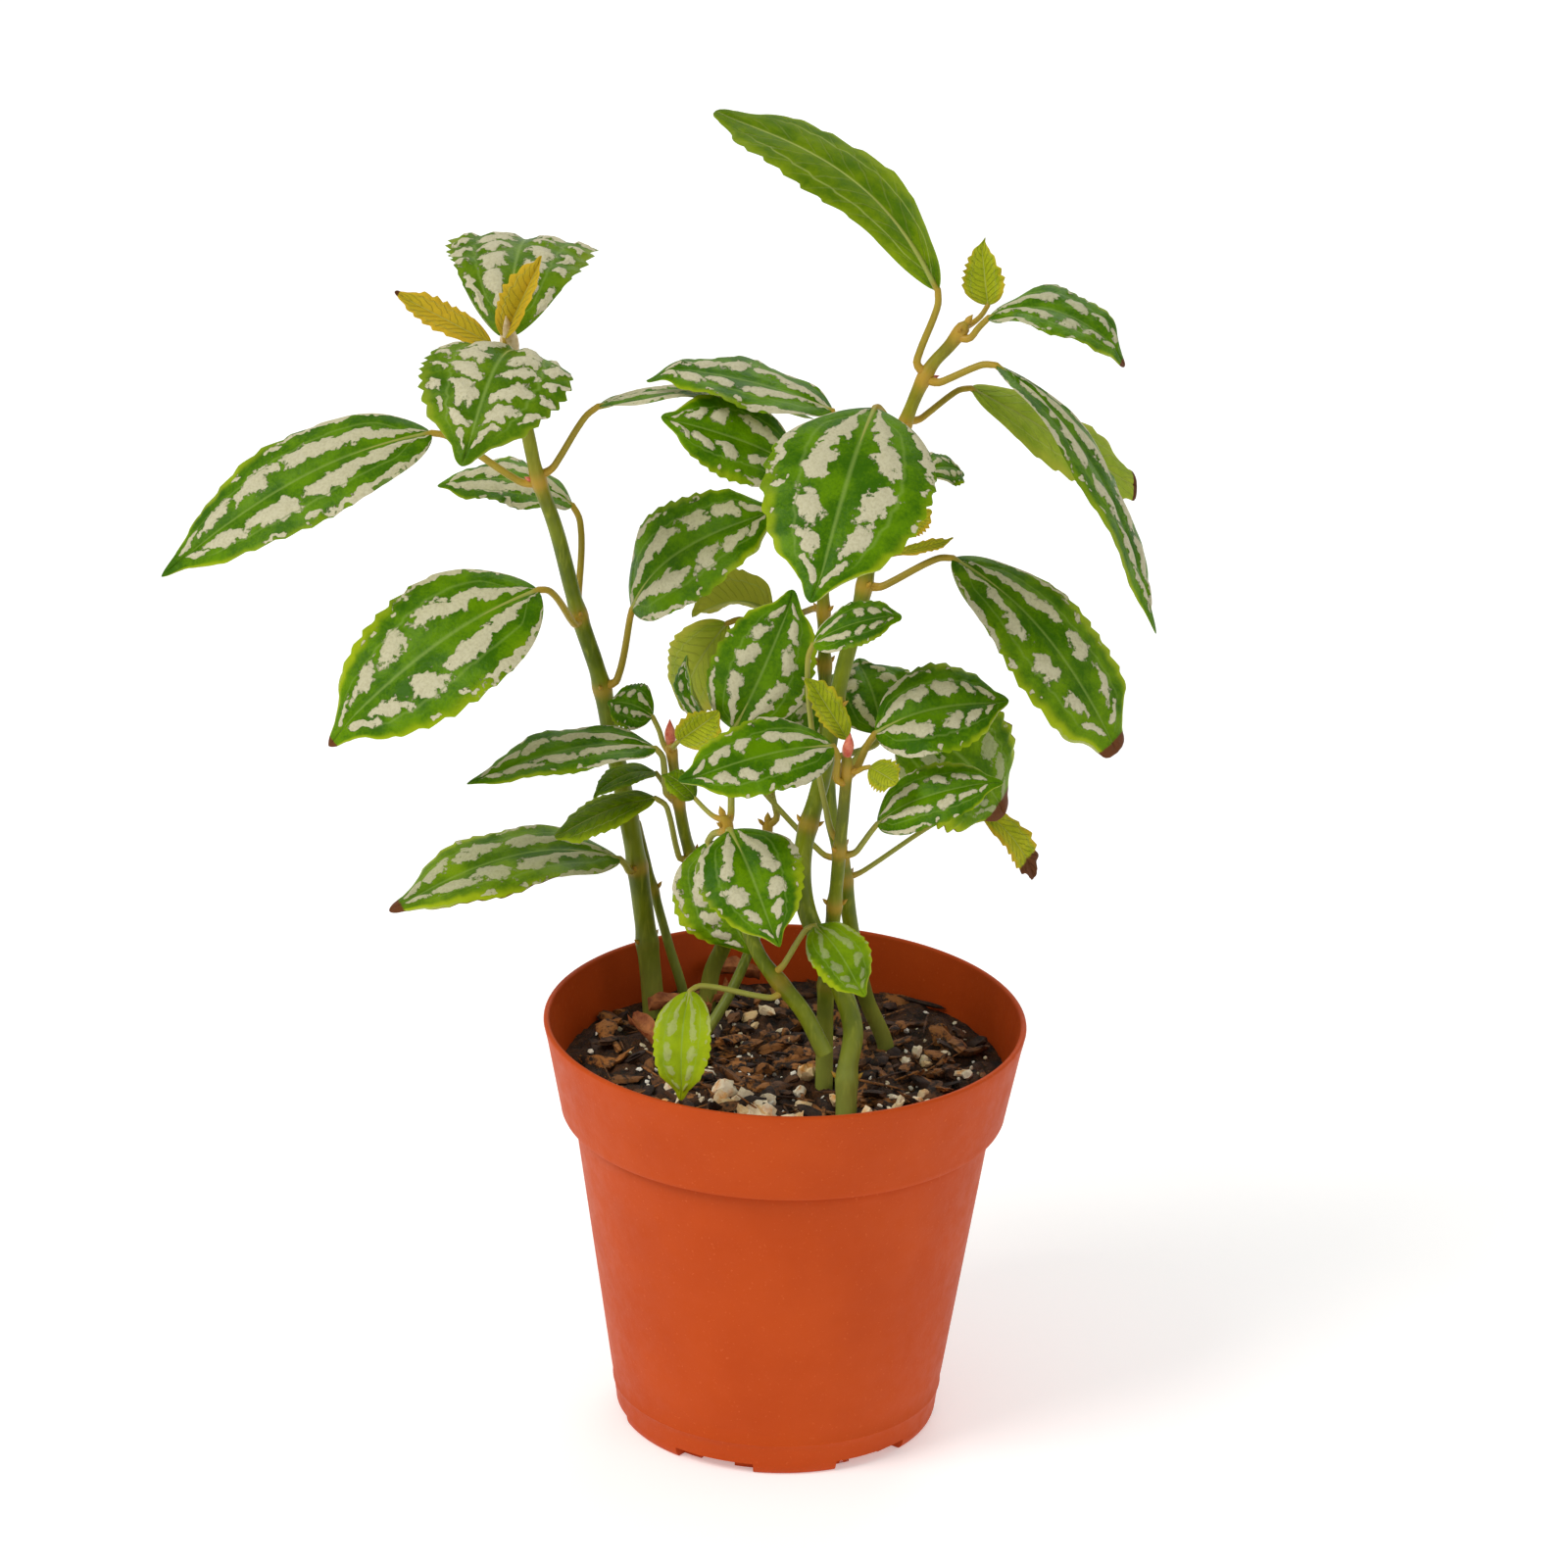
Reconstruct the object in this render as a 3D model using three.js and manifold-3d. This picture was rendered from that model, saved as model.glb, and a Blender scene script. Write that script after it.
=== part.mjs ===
// A young aluminum plant (Pilea cadierei) growing in a four-inch moulded plastic grower pot.
//
// The pot is one moulding: a tapered body, a flared collar at the top, and a low foot ring with
// drain arches. A plug of potting mix fills it to just below the rim. Eight stems stand in the mix
// and carry the leaves. Every leaf is one piece with its stalk.
//
// Millimetres, +Z up. The origin is on the pot's axis, on the surface the pot stands on.

import * as THREE from "three";
import { mergeVertices } from "three/addons/utils/BufferGeometryUtils.js";
import Module from "manifold-3d";

const wasm = await Module();
wasm.setup();
const { degToRad, lerp, mapLinear, smoothstep } = THREE.MathUtils;

// ---------------------------------------------------------------- driving dimensions

// Pot
const potHeight = 96;
const rimDiameter = 108; // outside, at the lip
const baseDiameter = 72; // outside, at the foot
const potWall = 1.4;
const collarHeight = 23; // the flared band below the lip
const collarFlare = 4.5; // how much the band's radius grows from its lower edge to the lip
const collarStep = 2.6; // how far the band's lower edge stands out from the body
const lipRound = 0.7;
const footHeight = 3; // clear height under the base plate
const footRing = 4.3; // width of the ring that the pot stands on
const basePlate = 1.6;
const cornerRound = 3; // outside, where the body meets the foot
const archCount = 6;
const archAngle = 30; // degrees of the foot ring that an arch takes
const archMouthAngle = 14; // degrees of it that go right through
const archShare = 0.85; // of the foot's height that an arch is high
const firstArch = -112.5; // degrees from +X
const drainHole = 8; // diameter
const centrePad = 12; // diameter of the pad under the middle of the base

// Potting mix
const soilRecess = 12; // from the lip down to the surface
const soilMounds = 1.1; // how far the surface rises and falls
const moundLengths = [7, 9]; // of the waves along X and Y, over 2 pi
const levelBorder = 0.1; // share of the radius, at the pot, where the surface is level
const rootDepth = 14; // how deep a stem stands in the mix

// Plant
const plantRise = 220; // from the mix to the highest leaf
const plantSpread = 1; // how wide the plant grows: 1 is as listed in the growth table
const petioleRadius = 0.85; // of a leaf's stalk
const bladeThickness = 0.9;
const bladeCamber = 0.22; // how far the margins bend down, as a share of half the width
const bladeRoundness = 0.6; // of the base: 1 is pointed, 0.5 is round
const archSkew = 0.25; // how much more the midrib arches near the base than near the tip
const clearance = 0.35; // between neighbouring pieces

// The heights and distances in the growth table suit a plant of this height in a pot whose mix
// is this wide at its surface. The pot holds the plant in below the first height, and lets it go
// by the second.
const listedRise = 220;
const listedSoilRadius = 50;
const heldHeights = [20, 60];

// ---------------------------------------------------------------- colours

const finish = {
  pot: { color: 0xc4532a, roughness: 0.55 },
  soil: { color: 0x2c1a12, roughness: 0.95 },
  stem: { color: 0x76801f, roughness: 0.5 },
  striped: { color: 0x4f8a2c, roughness: 0.4 },
  plain: { color: 0x6d9a34, roughness: 0.45 },
  young: { color: 0xc2b832, roughness: 0.45 },
};

// ---------------------------------------------------------------- growth table

// A stem is a smooth line through points [x, y, height above the mix], with its radius at the
// bottom and at the top. A rooted stem starts in the mix; a branch starts beside another stem.
const stems = {
  left: {
    rooted: true,
    radii: [2.7, 1.4],
    points: [[-30, 27, 0], [-34, 26, 35], [-38, 24, 58], [-40, 22, 68], [-43, 20, 84], [-48, 17, 101],
      [-53, 13, 122], [-57, 10, 135], [-59, 8, 145], [-62, 5, 161], [-63, 5, 165]],
  },
  left_side: {
    rooted: true,
    radii: [1.3, 0.9],
    points: [[-23, 34, 0], [-27, 37, 13], [-30, 39, 23], [-33, 37, 36], [-35, 34, 46]],
  },
  red_bud: {
    rooted: true,
    radii: [2.3, 1.1],
    points: [[-18, 30, 0], [-17, 29, 10], [-14, 25, 20], [-15, 18, 31], [-22, 12, 46], [-25, 8, 61],
      [-26, 6, 69], [-27, 6, 76]],
  },
  front: {
    branchOf: "tall_right",
    radii: [2, 1.3],
    points: [[9, -24, 14], [4, -22, 23], [-1, -21, 29], [-6, -19, 35], [-11, -15, 47], [-13, -13, 57],
      [-14, -12, 63], [-15, -12, 66]],
  },
  back: {
    rooted: true,
    radii: [1.4, 1],
    points: [[-21, 0, 0], [-12, 6, 16], [-7, 12, 28], [-5, 13, 44], [-5, 13, 55]],
  },
  tall_right: {
    rooted: true,
    radii: [2.5, 1.4],
    points: [[14, -26, 0], [14, -24, 10], [15, -21, 19], [10, -17, 32], [4, -13, 44], [3, -10, 56],
      [7, -5, 73], [10, -1, 92], [14, 2, 109], [16, 4, 120], [19, 6, 135], [23, 7, 151], [28, 8, 163],
      [32, 8, 168], [36, 8, 174]],
  },
  short_right: {
    rooted: true,
    radii: [2.2, 1.2],
    points: [[9, -11, 0], [9, -9, 28], [10, -10, 40], [11, -14, 58], [12, -18, 78], [12, -19, 84]],
  },
  slim_right: {
    rooted: true,
    radii: [2, 1.2],
    points: [[23, 11, 0], [18, 8, 14], [14, 3, 34], [12, 2, 48], [9, 3, 60], [8, 4, 71], [7, 6, 89],
      [6, 8, 111], [5, 9, 134], [4, 10, 147]],
  },
};

// A leaf: its stem, the height where its stalk leaves the stem, the blade's base and tip, its
// width, where along its length it is widest, how far the midrib arches above the line from base
// to tip, the way the upper side looks, how many degrees each half is lifted, and its kind.
const leaves = {
  left_crown_back: ["left", 160, [-64, 8, 167], [-61, 51, 176], 33, 0.7, 9, [0, -0.4, 1], 8, "striped"],
  left_crown_front: ["left", 158, [-60, 1, 165], [-71, -34, 152],
    33, 0.45, 11, [0, -0.4, 1], 3, "striped"],
  left_crown_yellow: ["left", 163, [-67, 4, 167], [-88, 4, 178], 8, 0.5, 0, [0, -0.7, 0.7], 25, "young"],
  left_crown_upright: ["left", 164, [-64, 2, 169], [-56, 4, 187],
    12, 0.45, 0, [-0.6, -0.8, 0], 50, "young"],
  left_long: ["left", 133, [-80, 8, 145], [-138, -5, 115], 27, 0.42, 7, [-0.1, -0.5, 0.9], 10, "striped"],
  left_arching: ["left", 135, [-44, 11, 151], [3, 21, 146], 22, 0.45, 4, [0, 0.2, 1], 12, "striped"],
  left_behind: ["left", 102, [-50, 31, 121], [-80, 31, 125], 22, 0.45, 4, [0, -0.15, 1], 10, "striped"],
  left_broad: ["left", 99, [-56, -2, 113], [-101, -20, 83], 33, 0.43, 7, [-0.3, -0.7, 0.6], 8, "striped"],
  left_inner: ["left", 82, [-36, 14, 103], [-3, 10, 129], 27, 0.45, 8, [-0.3, -0.6, 0.7], 12, "striped"],
  left_lowest: ["left", 37, [-38, 20, 41], [-89, 5, 33], 28, 0.48, 7, [-0.1, -0.15, 1], 10, "striped"],
  bud_small: ["red_bud", 72, [-31, 11, 79], [-41, 13, 81.5],
    13, 0.45, 2, [-0.2, -0.5, 0.8], 10, "striped"],
  bud_long: ["red_bud", 62, [-30, 2, 75], [-71, -8, 69], 21, 0.42, 4, [0, -0.1, 1], 12, "striped"],
  bud_yellow: ["red_bud", 74, [-25, -1, 78], [-16, -3, 86], 11, 0.5, 0, [0.4, -0.9, 0.3], 35, "young"],
  bud_edge: ["red_bud", 59, [-30, 10, 66], [-44, 5, 62], 12, 0.45, 2, [0, 0, 1], 15, "plain"],
  bud_plain: ["red_bud", 45, [-30, 5, 62], [-52, 2, 53], 15, 0.55, 1.5, [0, -0.15, 1], 10, "plain"],
  front_heart: ["front", 61, [-13, -20, 65], [-2, -38, 45], 24, 0.4, 4, [0.1, -0.8, 0.5], 8, "striped"],
  front_side: ["front", 61, [-18, -5, 56], [-8, -12, 32], 25, 0.45, 3, [-0.4, -0.7, 0.5], 10, "striped"],
  front_small: ["front", 64, [-21, -7, 67], [-28, -5, 72], 8, 0.45, 1, [0, -0.4, 0.9], 12, "plain"],
  centre_upright: ["front", 63, [-13, 2, 80], [0, -1, 114], 23, 0.45, 4, [0.1, -0.9, 0.2], 8, "striped"],
  centre_drooping: ["slim_right", 94, [-15, 23, 97], [-25, 29, 74],
    18, 0.5, 3, [-0.3, -0.7, 0.5], 10, "plain"],
  centre_edge: ["slim_right", 50, [-19, 9, 79], [-24, 13, 93],
    13, 0.45, 1, [-0.8, -0.2, 0.3], 30, "striped"],
  centre_right: ["short_right", 60, [4, -13, 106], [23, -17, 115],
    13, 0.5, 2, [0, -0.5, 0.9], 10, "striped"],
  back_dark: ["back", 53, [-4, 13, 63], [7, 13, 88], 18, 0.5, 3, [0.5, -0.6, 0.4], 10, "striped"],
  centre_arched: ["slim_right", 106, [-5, 24, 99], [-23, 25, 98], 20, 0.5, 4, [0, 0.8, 0.6], 35, "plain"],
  short_front: ["short_right", 76, [9, -22, 86], [-24, -36, 82],
    20, 0.45, 3, [-0.1, -0.6, 0.8], 10, "striped"],
  short_yellow: ["short_right", 80, [12, -15, 85], [3, -14, 99],
    8, 0.5, 0, [0.5, -0.8, 0.3], 25, "young"],
  short_tiny: ["short_right", 79, [17, -21, 81], [23, -25, 79],
    8, 0.55, 0, [0.2, -0.9, 0.4], 15, "young"],
  short_upper: ["short_right", 77, [18, -14, 86], [47, -14, 94],
    25, 0.45, 4, [0, -0.5, 0.8], 12, "striped"],
  slim_behind: ["slim_right", 72, [20, 17, 74], [14, 32, 86],
    22, 0.45, 3, [0.2, -0.8, 0.5], 10, "striped"],
  slim_large: ["slim_right", 68, [24, 11, 80], [48, 9, 59], 34, 0.5, 5, [0.4, -0.7, 0.6], 6, "plain"],
  short_lower: ["short_right", 57, [19, -17, 66], [46, -22, 79],
    16, 0.45, 4, [0, -0.6, 0.8], 12, "striped"],
  slim_withered: ["slim_right", 45, [42, 15, 57], [55, 13, 42], 9, 0.6, 3, [0.6, -0.6, 0.3], 25, "young"],
  tall_top: ["tall_right", 161, [29, 9, 180], [-20, 1, 221], 25, 0.55, 9, [0.45, 0.75, 0.5], 8, "plain"],
  tall_yellow: ["tall_right", 172, [40, 12, 176], [38, 13, 191],
    11, 0.35, 0, [-0.3, -0.9, 0], 30, "young"],
  tall_crown: ["tall_right", 170, [40, 6, 175], [70, 0, 169], 21, 0.5, 6, [0.1, -0.2, 1], 15, "striped"],
  tall_arching: ["tall_right", 160, [42, 4, 165], [78, -15, 111],
    26, 0.45, 7, [0.75, -0.1, 0.6], 10, "striped"],
  tall_behind: ["tall_right", 151, [37, 15, 156], [75, 31, 128],
    20, 0.7, 1, [0.5, -0.4, 0.7], 8, "plain"],
  tall_scrap: ["tall_right", 137, [28, 17, 136], [36, 23, 134],
    11, 0.5, 1, [0, -0.5, 0.9], 10, "striped"],
  tall_front: ["tall_right", 148, [16, -9, 159], [4, -50, 129],
    37, 0.43, 6, [0, -0.5, 0.9], 5, "striped"],
  slim_top: ["slim_right", 145, [7, 6, 153], [-33, 10, 161], 24, 0.45, 2, [0, -0.1, 1], 10, "striped"],
  slim_second: ["slim_right", 139, [0, 2, 141], [-30, -4, 154],
    24, 0.45, 2, [0, -0.5, 0.8], 12, "striped"],
  tall_hanging: ["tall_right", 114, [34, 0, 122], [71, -14, 83],
    27, 0.6, 7, [0.5, -0.6, 0.6], 8, "striped"],
  tall_thin: ["tall_right", 121, [22, 2, 122], [34, 0, 126], 4, 0.5, 0, [0, -0.5, 0.9], 20, "young"],
  tall_bit: ["tall_right", 124, [22, 7, 125], [29, 6, 131], 7, 0.5, 0, [0.3, -0.8, 0.5], 20, "young"],
  low_left: ["front", 28, [-21, -28, 30], [-22, -40, 9], 14, 0.45, 3, [-0.3, -0.8, 0.5], 15, "striped"],
  low_right: ["front", 31, [6, -25, 45], [17, -34, 32], 14, 0.45, 3, [0.3, -0.8, 0.5], 10, "striped"],
};

// ---------------------------------------------------------------- sizes worked out from these

const rimRadius = rimDiameter / 2;
const baseRadius = baseDiameter / 2;
const collarBottom = potHeight - collarHeight;
const collarRadius = rimRadius - collarFlare; // outside, at the band's lower edge
const bodyTopRadius = collarRadius - collarStep; // outside, under the band
const soilTop = potHeight - soilRecess;
const soilBottom = footHeight + basePlate + clearance;
const underCollar = collarBottom - collarStep;
const wallInside = (z) => mapLinear(z, 0, collarBottom, baseRadius, bodyTopRadius) - potWall;
const collarInside = (z) => mapLinear(z, collarBottom, potHeight, collarRadius, rimRadius) - potWall;
const soilRadius = collarInside(soilTop) - clearance;

// ---------------------------------------------------------------- helpers

// A closed geometry as a solid that booleans can work on.
function solidFrom(geometry) {
  const bare = geometry.index ? geometry.toNonIndexed() : geometry.clone();
  bare.deleteAttribute("normal");
  bare.deleteAttribute("uv");
  const merged = mergeVertices(bare, 1e-4);
  return new wasm.Manifold(
    new wasm.Mesh({
      numProp: 3,
      vertProperties: Float32Array.from(merged.attributes.position.array),
      triVerts: Uint32Array.from(merged.index.array),
    }),
  );
}

function geometryFrom(solid) {
  const mesh = solid.getMesh();
  const geometry = new THREE.BufferGeometry();
  geometry.setAttribute("position", new THREE.BufferAttribute(mesh.vertProperties, 3));
  geometry.setIndex(new THREE.BufferAttribute(mesh.triVerts, 1));
  geometry.computeVertexNormals();
  return geometry;
}

function makeMesh(name, geometry, look) {
  const material = new THREE.MeshStandardMaterial({ ...finish[look], metalness: 0 });
  const mesh = new THREE.Mesh(geometry, material);
  mesh.name = name;
  return mesh;
}

// Turns an outline of [radius, z] points about the Z axis. The outline runs anticlockwise.
function turned(outline, segments) {
  const points = outline.map(([radius, z]) => new THREE.Vector2(radius, z));
  return new THREE.LatheGeometry(points, segments).rotateX(Math.PI / 2);
}

// Joins rings of equal length into one closed skin. Each ring runs anticlockwise when looked at
// from the end of the row back to its start. "last" is one point, or the last ring gets a flat cap.
function skin(rings, last) {
  const sides = rings[0].length;
  const ends = [centreOf(rings[0]), last ?? centreOf(rings.at(-1))];
  const position = [...rings.flat(), ...ends].flatMap((p) => [p.x, p.y, p.z]);
  const index = [];
  for (let row = 0; row + 1 < rings.length; row++) {
    for (let k = 0; k < sides; k++) {
      const a = row * sides + k;
      const b = row * sides + ((k + 1) % sides);
      index.push(a, b, a + sides, b, b + sides, a + sides);
    }
  }
  const start = rings.length * sides;
  const lastRing = start - sides;
  for (let k = 0; k < sides; k++) {
    const next = (k + 1) % sides;
    index.push(start, next, k);
    index.push(start + 1, lastRing + k, lastRing + next);
  }
  const geometry = new THREE.BufferGeometry();
  geometry.setAttribute("position", new THREE.Float32BufferAttribute(position, 3));
  geometry.setIndex(index);
  geometry.computeVertexNormals();
  return geometry;
}

function centreOf(ring) {
  const sum = ring.reduce((total, p) => total.add(p), new THREE.Vector3());
  return sum.divideScalar(ring.length);
}

// Where a point of the growth table is. Near the mix the plant is as wide as its pot lets it be.
function grown([x, y, height]) {
  const potShare = 1 - smoothstep(height, ...heldHeights);
  const spread = lerp(plantSpread, soilRadius / listedSoilRadius, potShare);
  return new THREE.Vector3(x * spread, y * spread, soilTop + (height * plantRise) / listedRise);
}

// ---------------------------------------------------------------- pot

const potSegments = 48;
const cornerSteps = [90, 60, 30, 0]; // degrees of the rounding where the body meets the foot
const cornerLean = 0.5; // the rounding's width over its height
const rollInset = 0.35; // shares of the collar's step, for the roll under the band
const rollLow = 0.6;
const rollHigh = 0.4;

function potSolid() {
  const cornerRadius = wallInside(cornerRound) + potWall;
  const corner = cornerSteps.map((degrees) => {
    const angle = degToRad(degrees);
    const inset = cornerRound * (1 - Math.cos(angle)) * cornerLean;
    return [cornerRadius - inset, cornerRound * (1 - Math.sin(angle))];
  });
  const outline = [
    [0, 0],
    [centrePad / 2, 0],
    [centrePad / 2, footHeight],
    [baseRadius - footRing, footHeight],
    [baseRadius - footRing, 0],
    ...corner,
    [bodyTopRadius, underCollar],
    [collarRadius - collarStep * rollInset, collarBottom - collarStep * rollLow],
    [collarRadius, collarBottom + collarStep * rollHigh],
    [rimRadius, potHeight - lipRound],
    [rimRadius - lipRound, potHeight],
    [rimRadius - potWall, potHeight - lipRound],
    [collarInside(collarBottom), collarBottom],
    [wallInside(underCollar), underCollar],
    [wallInside(footHeight + basePlate), footHeight + basePlate],
    [0, footHeight + basePlate],
  ];
  return solidFrom(turned(outline, potSegments));
}

// A block of ring between two radii, "spread" degrees wide about the direction "middle". It
// reaches from under the pot up to the top of an arch.
function archBlock(inner, middle, spread) {
  const outer = baseRadius + collarStep;
  const depth = footHeight * (archShare + 1);
  const from = degToRad(middle - spread / 2);
  const to = degToRad(middle + spread / 2);
  const shape = new THREE.Shape();
  shape.absarc(0, 0, outer, from, to, false);
  shape.absarc(0, 0, inner, to, from, true);
  const block = new THREE.ExtrudeGeometry(shape, { depth, bevelEnabled: false, curveSegments: 4 });
  return solidFrom(block.translate(0, 0, -footHeight));
}

function holeBar(middle, reach) {
  const bar = new THREE.CylinderGeometry(drainHole / 2, drainHole / 2, 3 * footHeight, 12);
  const angle = degToRad(middle);
  bar.rotateX(Math.PI / 2).translate(reach * Math.cos(angle), reach * Math.sin(angle), footHeight);
  return solidFrom(bar);
}

function pot() {
  const recess = baseRadius - footRing + potWall; // the lugs behind an arch start here
  const holeReach = (recess + centrePad / 2) / 2 + drainHole / 4;
  let solid = potSolid();
  for (let k = 0; k < archCount; k++) {
    const middle = firstArch + (k * 360) / archCount;
    solid = solid.subtract(archBlock(recess, middle, archAngle));
    solid = solid.subtract(archBlock(centrePad, middle, archMouthAngle));
    solid = solid.subtract(holeBar(middle, holeReach));
  }
  return makeMesh("pot", geometryFrom(solid), "pot");
}

// ---------------------------------------------------------------- stems

// A round bar along a curve, closed at both ends, whose radius goes evenly from one size to another.
function taperedBar(curve, [from, to], steps, sides) {
  const frames = curve.computeFrenetFrames(steps, false);
  const rings = [];
  for (let step = 0; step <= steps; step++) {
    const share = step / steps;
    const radius = lerp(from, to, share);
    const centre = curve.getPointAt(share);
    const ring = [];
    for (let k = 0; k < sides; k++) {
      const angle = (k / sides) * 2 * Math.PI;
      const out = frames.normals[step].clone().multiplyScalar(Math.cos(angle));
      out.addScaledVector(frames.binormals[step], Math.sin(angle));
      ring.push(centre.clone().addScaledVector(out, radius));
    }
    rings.push(ring);
  }
  return skin(rings);
}

const stemSides = 8;
const stemStep = 15; // mm of stem to one step
const fewestSteps = 4;

function stemCurve({ rooted, points }, depth) {
  const route = points.map(grown);
  if (rooted) {
    route.unshift(route[0].clone().setZ(soilTop - depth));
  }
  return new THREE.CatmullRomCurve3(route, false, "centripetal");
}

function stemBar(stem, depth, extra) {
  const curve = stemCurve(stem, depth);
  const steps = Math.max(fewestSteps, Math.round(curve.getLength() / stemStep));
  const radii = stem.radii.map((radius) => radius + extra);
  return taperedBar(curve, radii, steps, stemSides);
}

// ---------------------------------------------------------------- potting mix

const surfaceRings = [0.8, 0.6, 0.4, 0.2]; // shares of the radius
const socketGap = 1.3 * clearance; // round a stem's foot
const flatBelow = 0.01;

function soil() {
  const outline = [
    [0, soilBottom],
    [wallInside(soilBottom) - clearance, soilBottom],
    [wallInside(underCollar) - clearance, underCollar],
    [collarInside(collarBottom) - clearance, collarBottom + clearance / 2],
    [soilRadius, soilTop],
    ...surfaceRings.map((share) => [soilRadius * share, soilTop]),
    [0, soilTop],
  ];
  const geometry = turned(outline, potSegments);
  const position = geometry.attributes.position;
  for (let k = 0; k < position.count; k++) {
    const [x, y] = [position.getX(k), position.getY(k)];
    const onTop = position.getZ(k) > soilTop - flatBelow;
    if (onTop && Math.hypot(x, y) < (1 - levelBorder) * soilRadius) {
      const wave = Math.sin(x / moundLengths[0]) * Math.cos(y / moundLengths[1]);
      position.setZ(k, soilTop + soilMounds * wave);
    }
  }
  let solid = solidFrom(geometry);
  for (const stem of Object.values(stems).filter(({ rooted }) => rooted)) {
    solid = solid.subtract(solidFrom(stemBar(stem, rootDepth + clearance, socketGap)));
  }
  return makeMesh("potting_mix", geometryFrom(solid), "soil");
}

// ---------------------------------------------------------------- leaves

const stalkGap = 0.8; // between a stem and the stalk that grows from it
const bendShare = 0.35; // of a stalk's length, for the bend at either end
const longestBend = 8;
const stalkSteps = 3;
const bladeSteps = 7;
const searchSteps = 200; // along a stem, to find a height on it
const nearby = 0.01; // share of a blade's length, to find which way its midrib goes

// Where on a stem's curve a height lies: the point, the stem's direction and its radius there.
function placeOnStem(stemName, height) {
  const stem = stems[stemName];
  const curve = stemCurve(stem, rootDepth);
  const wanted = grown([0, 0, height]).z;
  let share = 1;
  for (let k = searchSteps; k >= 0 && curve.getPointAt(k / searchSteps).z > wanted; k--) {
    share = k / searchSteps;
  }
  return {
    point: curve.getPointAt(share),
    along: curve.getTangentAt(share),
    radius: lerp(...stem.radii, share),
  };
}

// Half the blade's width at a share of its length: round at the base, drawn out at the tip.
function halfWidth(share, width, widest) {
  const pointed = (bladeRoundness * (1 - widest)) / widest;
  const outline = (place) => place ** bladeRoundness * (1 - place) ** pointed;
  return ((width / 2) * outline(share)) / outline(widest);
}

function leafGeometry([stemName, height, baseAt, tipAt, width, widest, arch, face, fold]) {
  const base = grown(baseAt);
  const tip = grown(tipAt);
  const chord = tip.clone().sub(base);
  const ahead = chord.clone().normalize();
  const up = new THREE.Vector3(...face).projectOnPlane(ahead).normalize();
  const side = new THREE.Vector3().crossVectors(ahead, up);
  const midrib = (share) => {
    const rise = 4 * arch * share * (1 - share) * (1 + archSkew - 2 * archSkew * share);
    return base.clone().addScaledVector(chord, share).addScaledVector(up, rise);
  };

  // The stalk leaves the stem square to it and runs into the midrib.
  const node = placeOnStem(stemName, height);
  const out = base.clone().sub(node.point).projectOnPlane(node.along).normalize();
  const start = node.point.clone().addScaledVector(out, node.radius + stalkGap);
  const reach = Math.min(bendShare * start.distanceTo(base), longestBend);
  const bladeStart = midrib(2 * nearby).sub(base).normalize();
  const stalk = new THREE.CubicBezierCurve3(
    start,
    start.clone().addScaledVector(out, reach),
    base.clone().addScaledVector(bladeStart, -reach),
    base,
  );

  const rings = [];
  for (let step = 0; step <= stalkSteps; step++) {
    const centre = stalk.getPoint(step / stalkSteps);
    const along = stalk.getTangent(step / stalkSteps);
    const across = side.clone().projectOnPlane(along).normalize();
    const over = new THREE.Vector3().crossVectors(across, along);
    rings.push(stalkRing(centre, across, over));
  }
  const lift = degToRad(fold);
  for (let step = 1; step < bladeSteps; step++) {
    const share = step / bladeSteps;
    const centre = midrib(share);
    const along = midrib(share + nearby).sub(midrib(share - nearby)).normalize();
    const over = new THREE.Vector3().crossVectors(side, along);
    rings.push(bladeRing(centre, side, over, halfWidth(share, width, widest), lift));
  }
  return skin(rings, tip);
}

// Both kinds of ring run the same way round: from the left edge over the top to the right edge,
// and back underneath.
function stalkRing(centre, across, over) {
  return [180, 135, 90, 45, 0, -45, -90, -135].map((degrees) => {
    const angle = degToRad(degrees);
    const point = centre.clone().addScaledVector(across, petioleRadius * Math.cos(angle));
    return point.addScaledVector(over, petioleRadius * Math.sin(angle));
  });
}

function bladeRing(centre, across, over, half, lift) {
  const skinAt = (place, level) => {
    const rise = half * (Math.abs(place) * Math.sin(lift) - bladeCamber * place * place);
    const point = centre.clone().addScaledVector(across, place * half * Math.cos(lift));
    return point.addScaledVector(over, rise + (level * bladeThickness) / 2);
  };
  const above = [-0.5, 0, 0.5].map((place) => skinAt(place, 1));
  const below = [0.5, 0, -0.5].map((place) => skinAt(place, -1));
  return [skinAt(-1, 0), ...above, skinAt(1, 0), ...below];
}

// ---------------------------------------------------------------- assembly

const plant = new THREE.Group();
plant.add(pot(), soil());
for (const [name, stem] of Object.entries(stems)) {
  plant.add(makeMesh(`${name}_stem`, stemBar(stem, rootDepth, 0), "stem"));
}
for (const [name, leaf] of Object.entries(leaves)) {
  plant.add(makeMesh(`${name}_leaf`, leafGeometry(leaf), leaf.at(-1)));
}

export default plant;
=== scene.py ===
# %% [markdown]
# # A young aluminum plant in a moulded plastic pot
# The plant is a Pilea cadierei: juicy round stems, stalked leaves in pairs, and raised silver
# patches between three long veins. It stands in a four-inch grower pot filled with a bark and
# pumice mix. The CAD frame gives the sizes and the places. This lesson builds the surfaces that
# people look at: quilted leaf blades, swollen stem joints, a thin moulded pot and loose chips.

# %% Open the frame
import math
import random

import bmesh
import bpy
from mathutils import Matrix, Vector, noise


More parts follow.
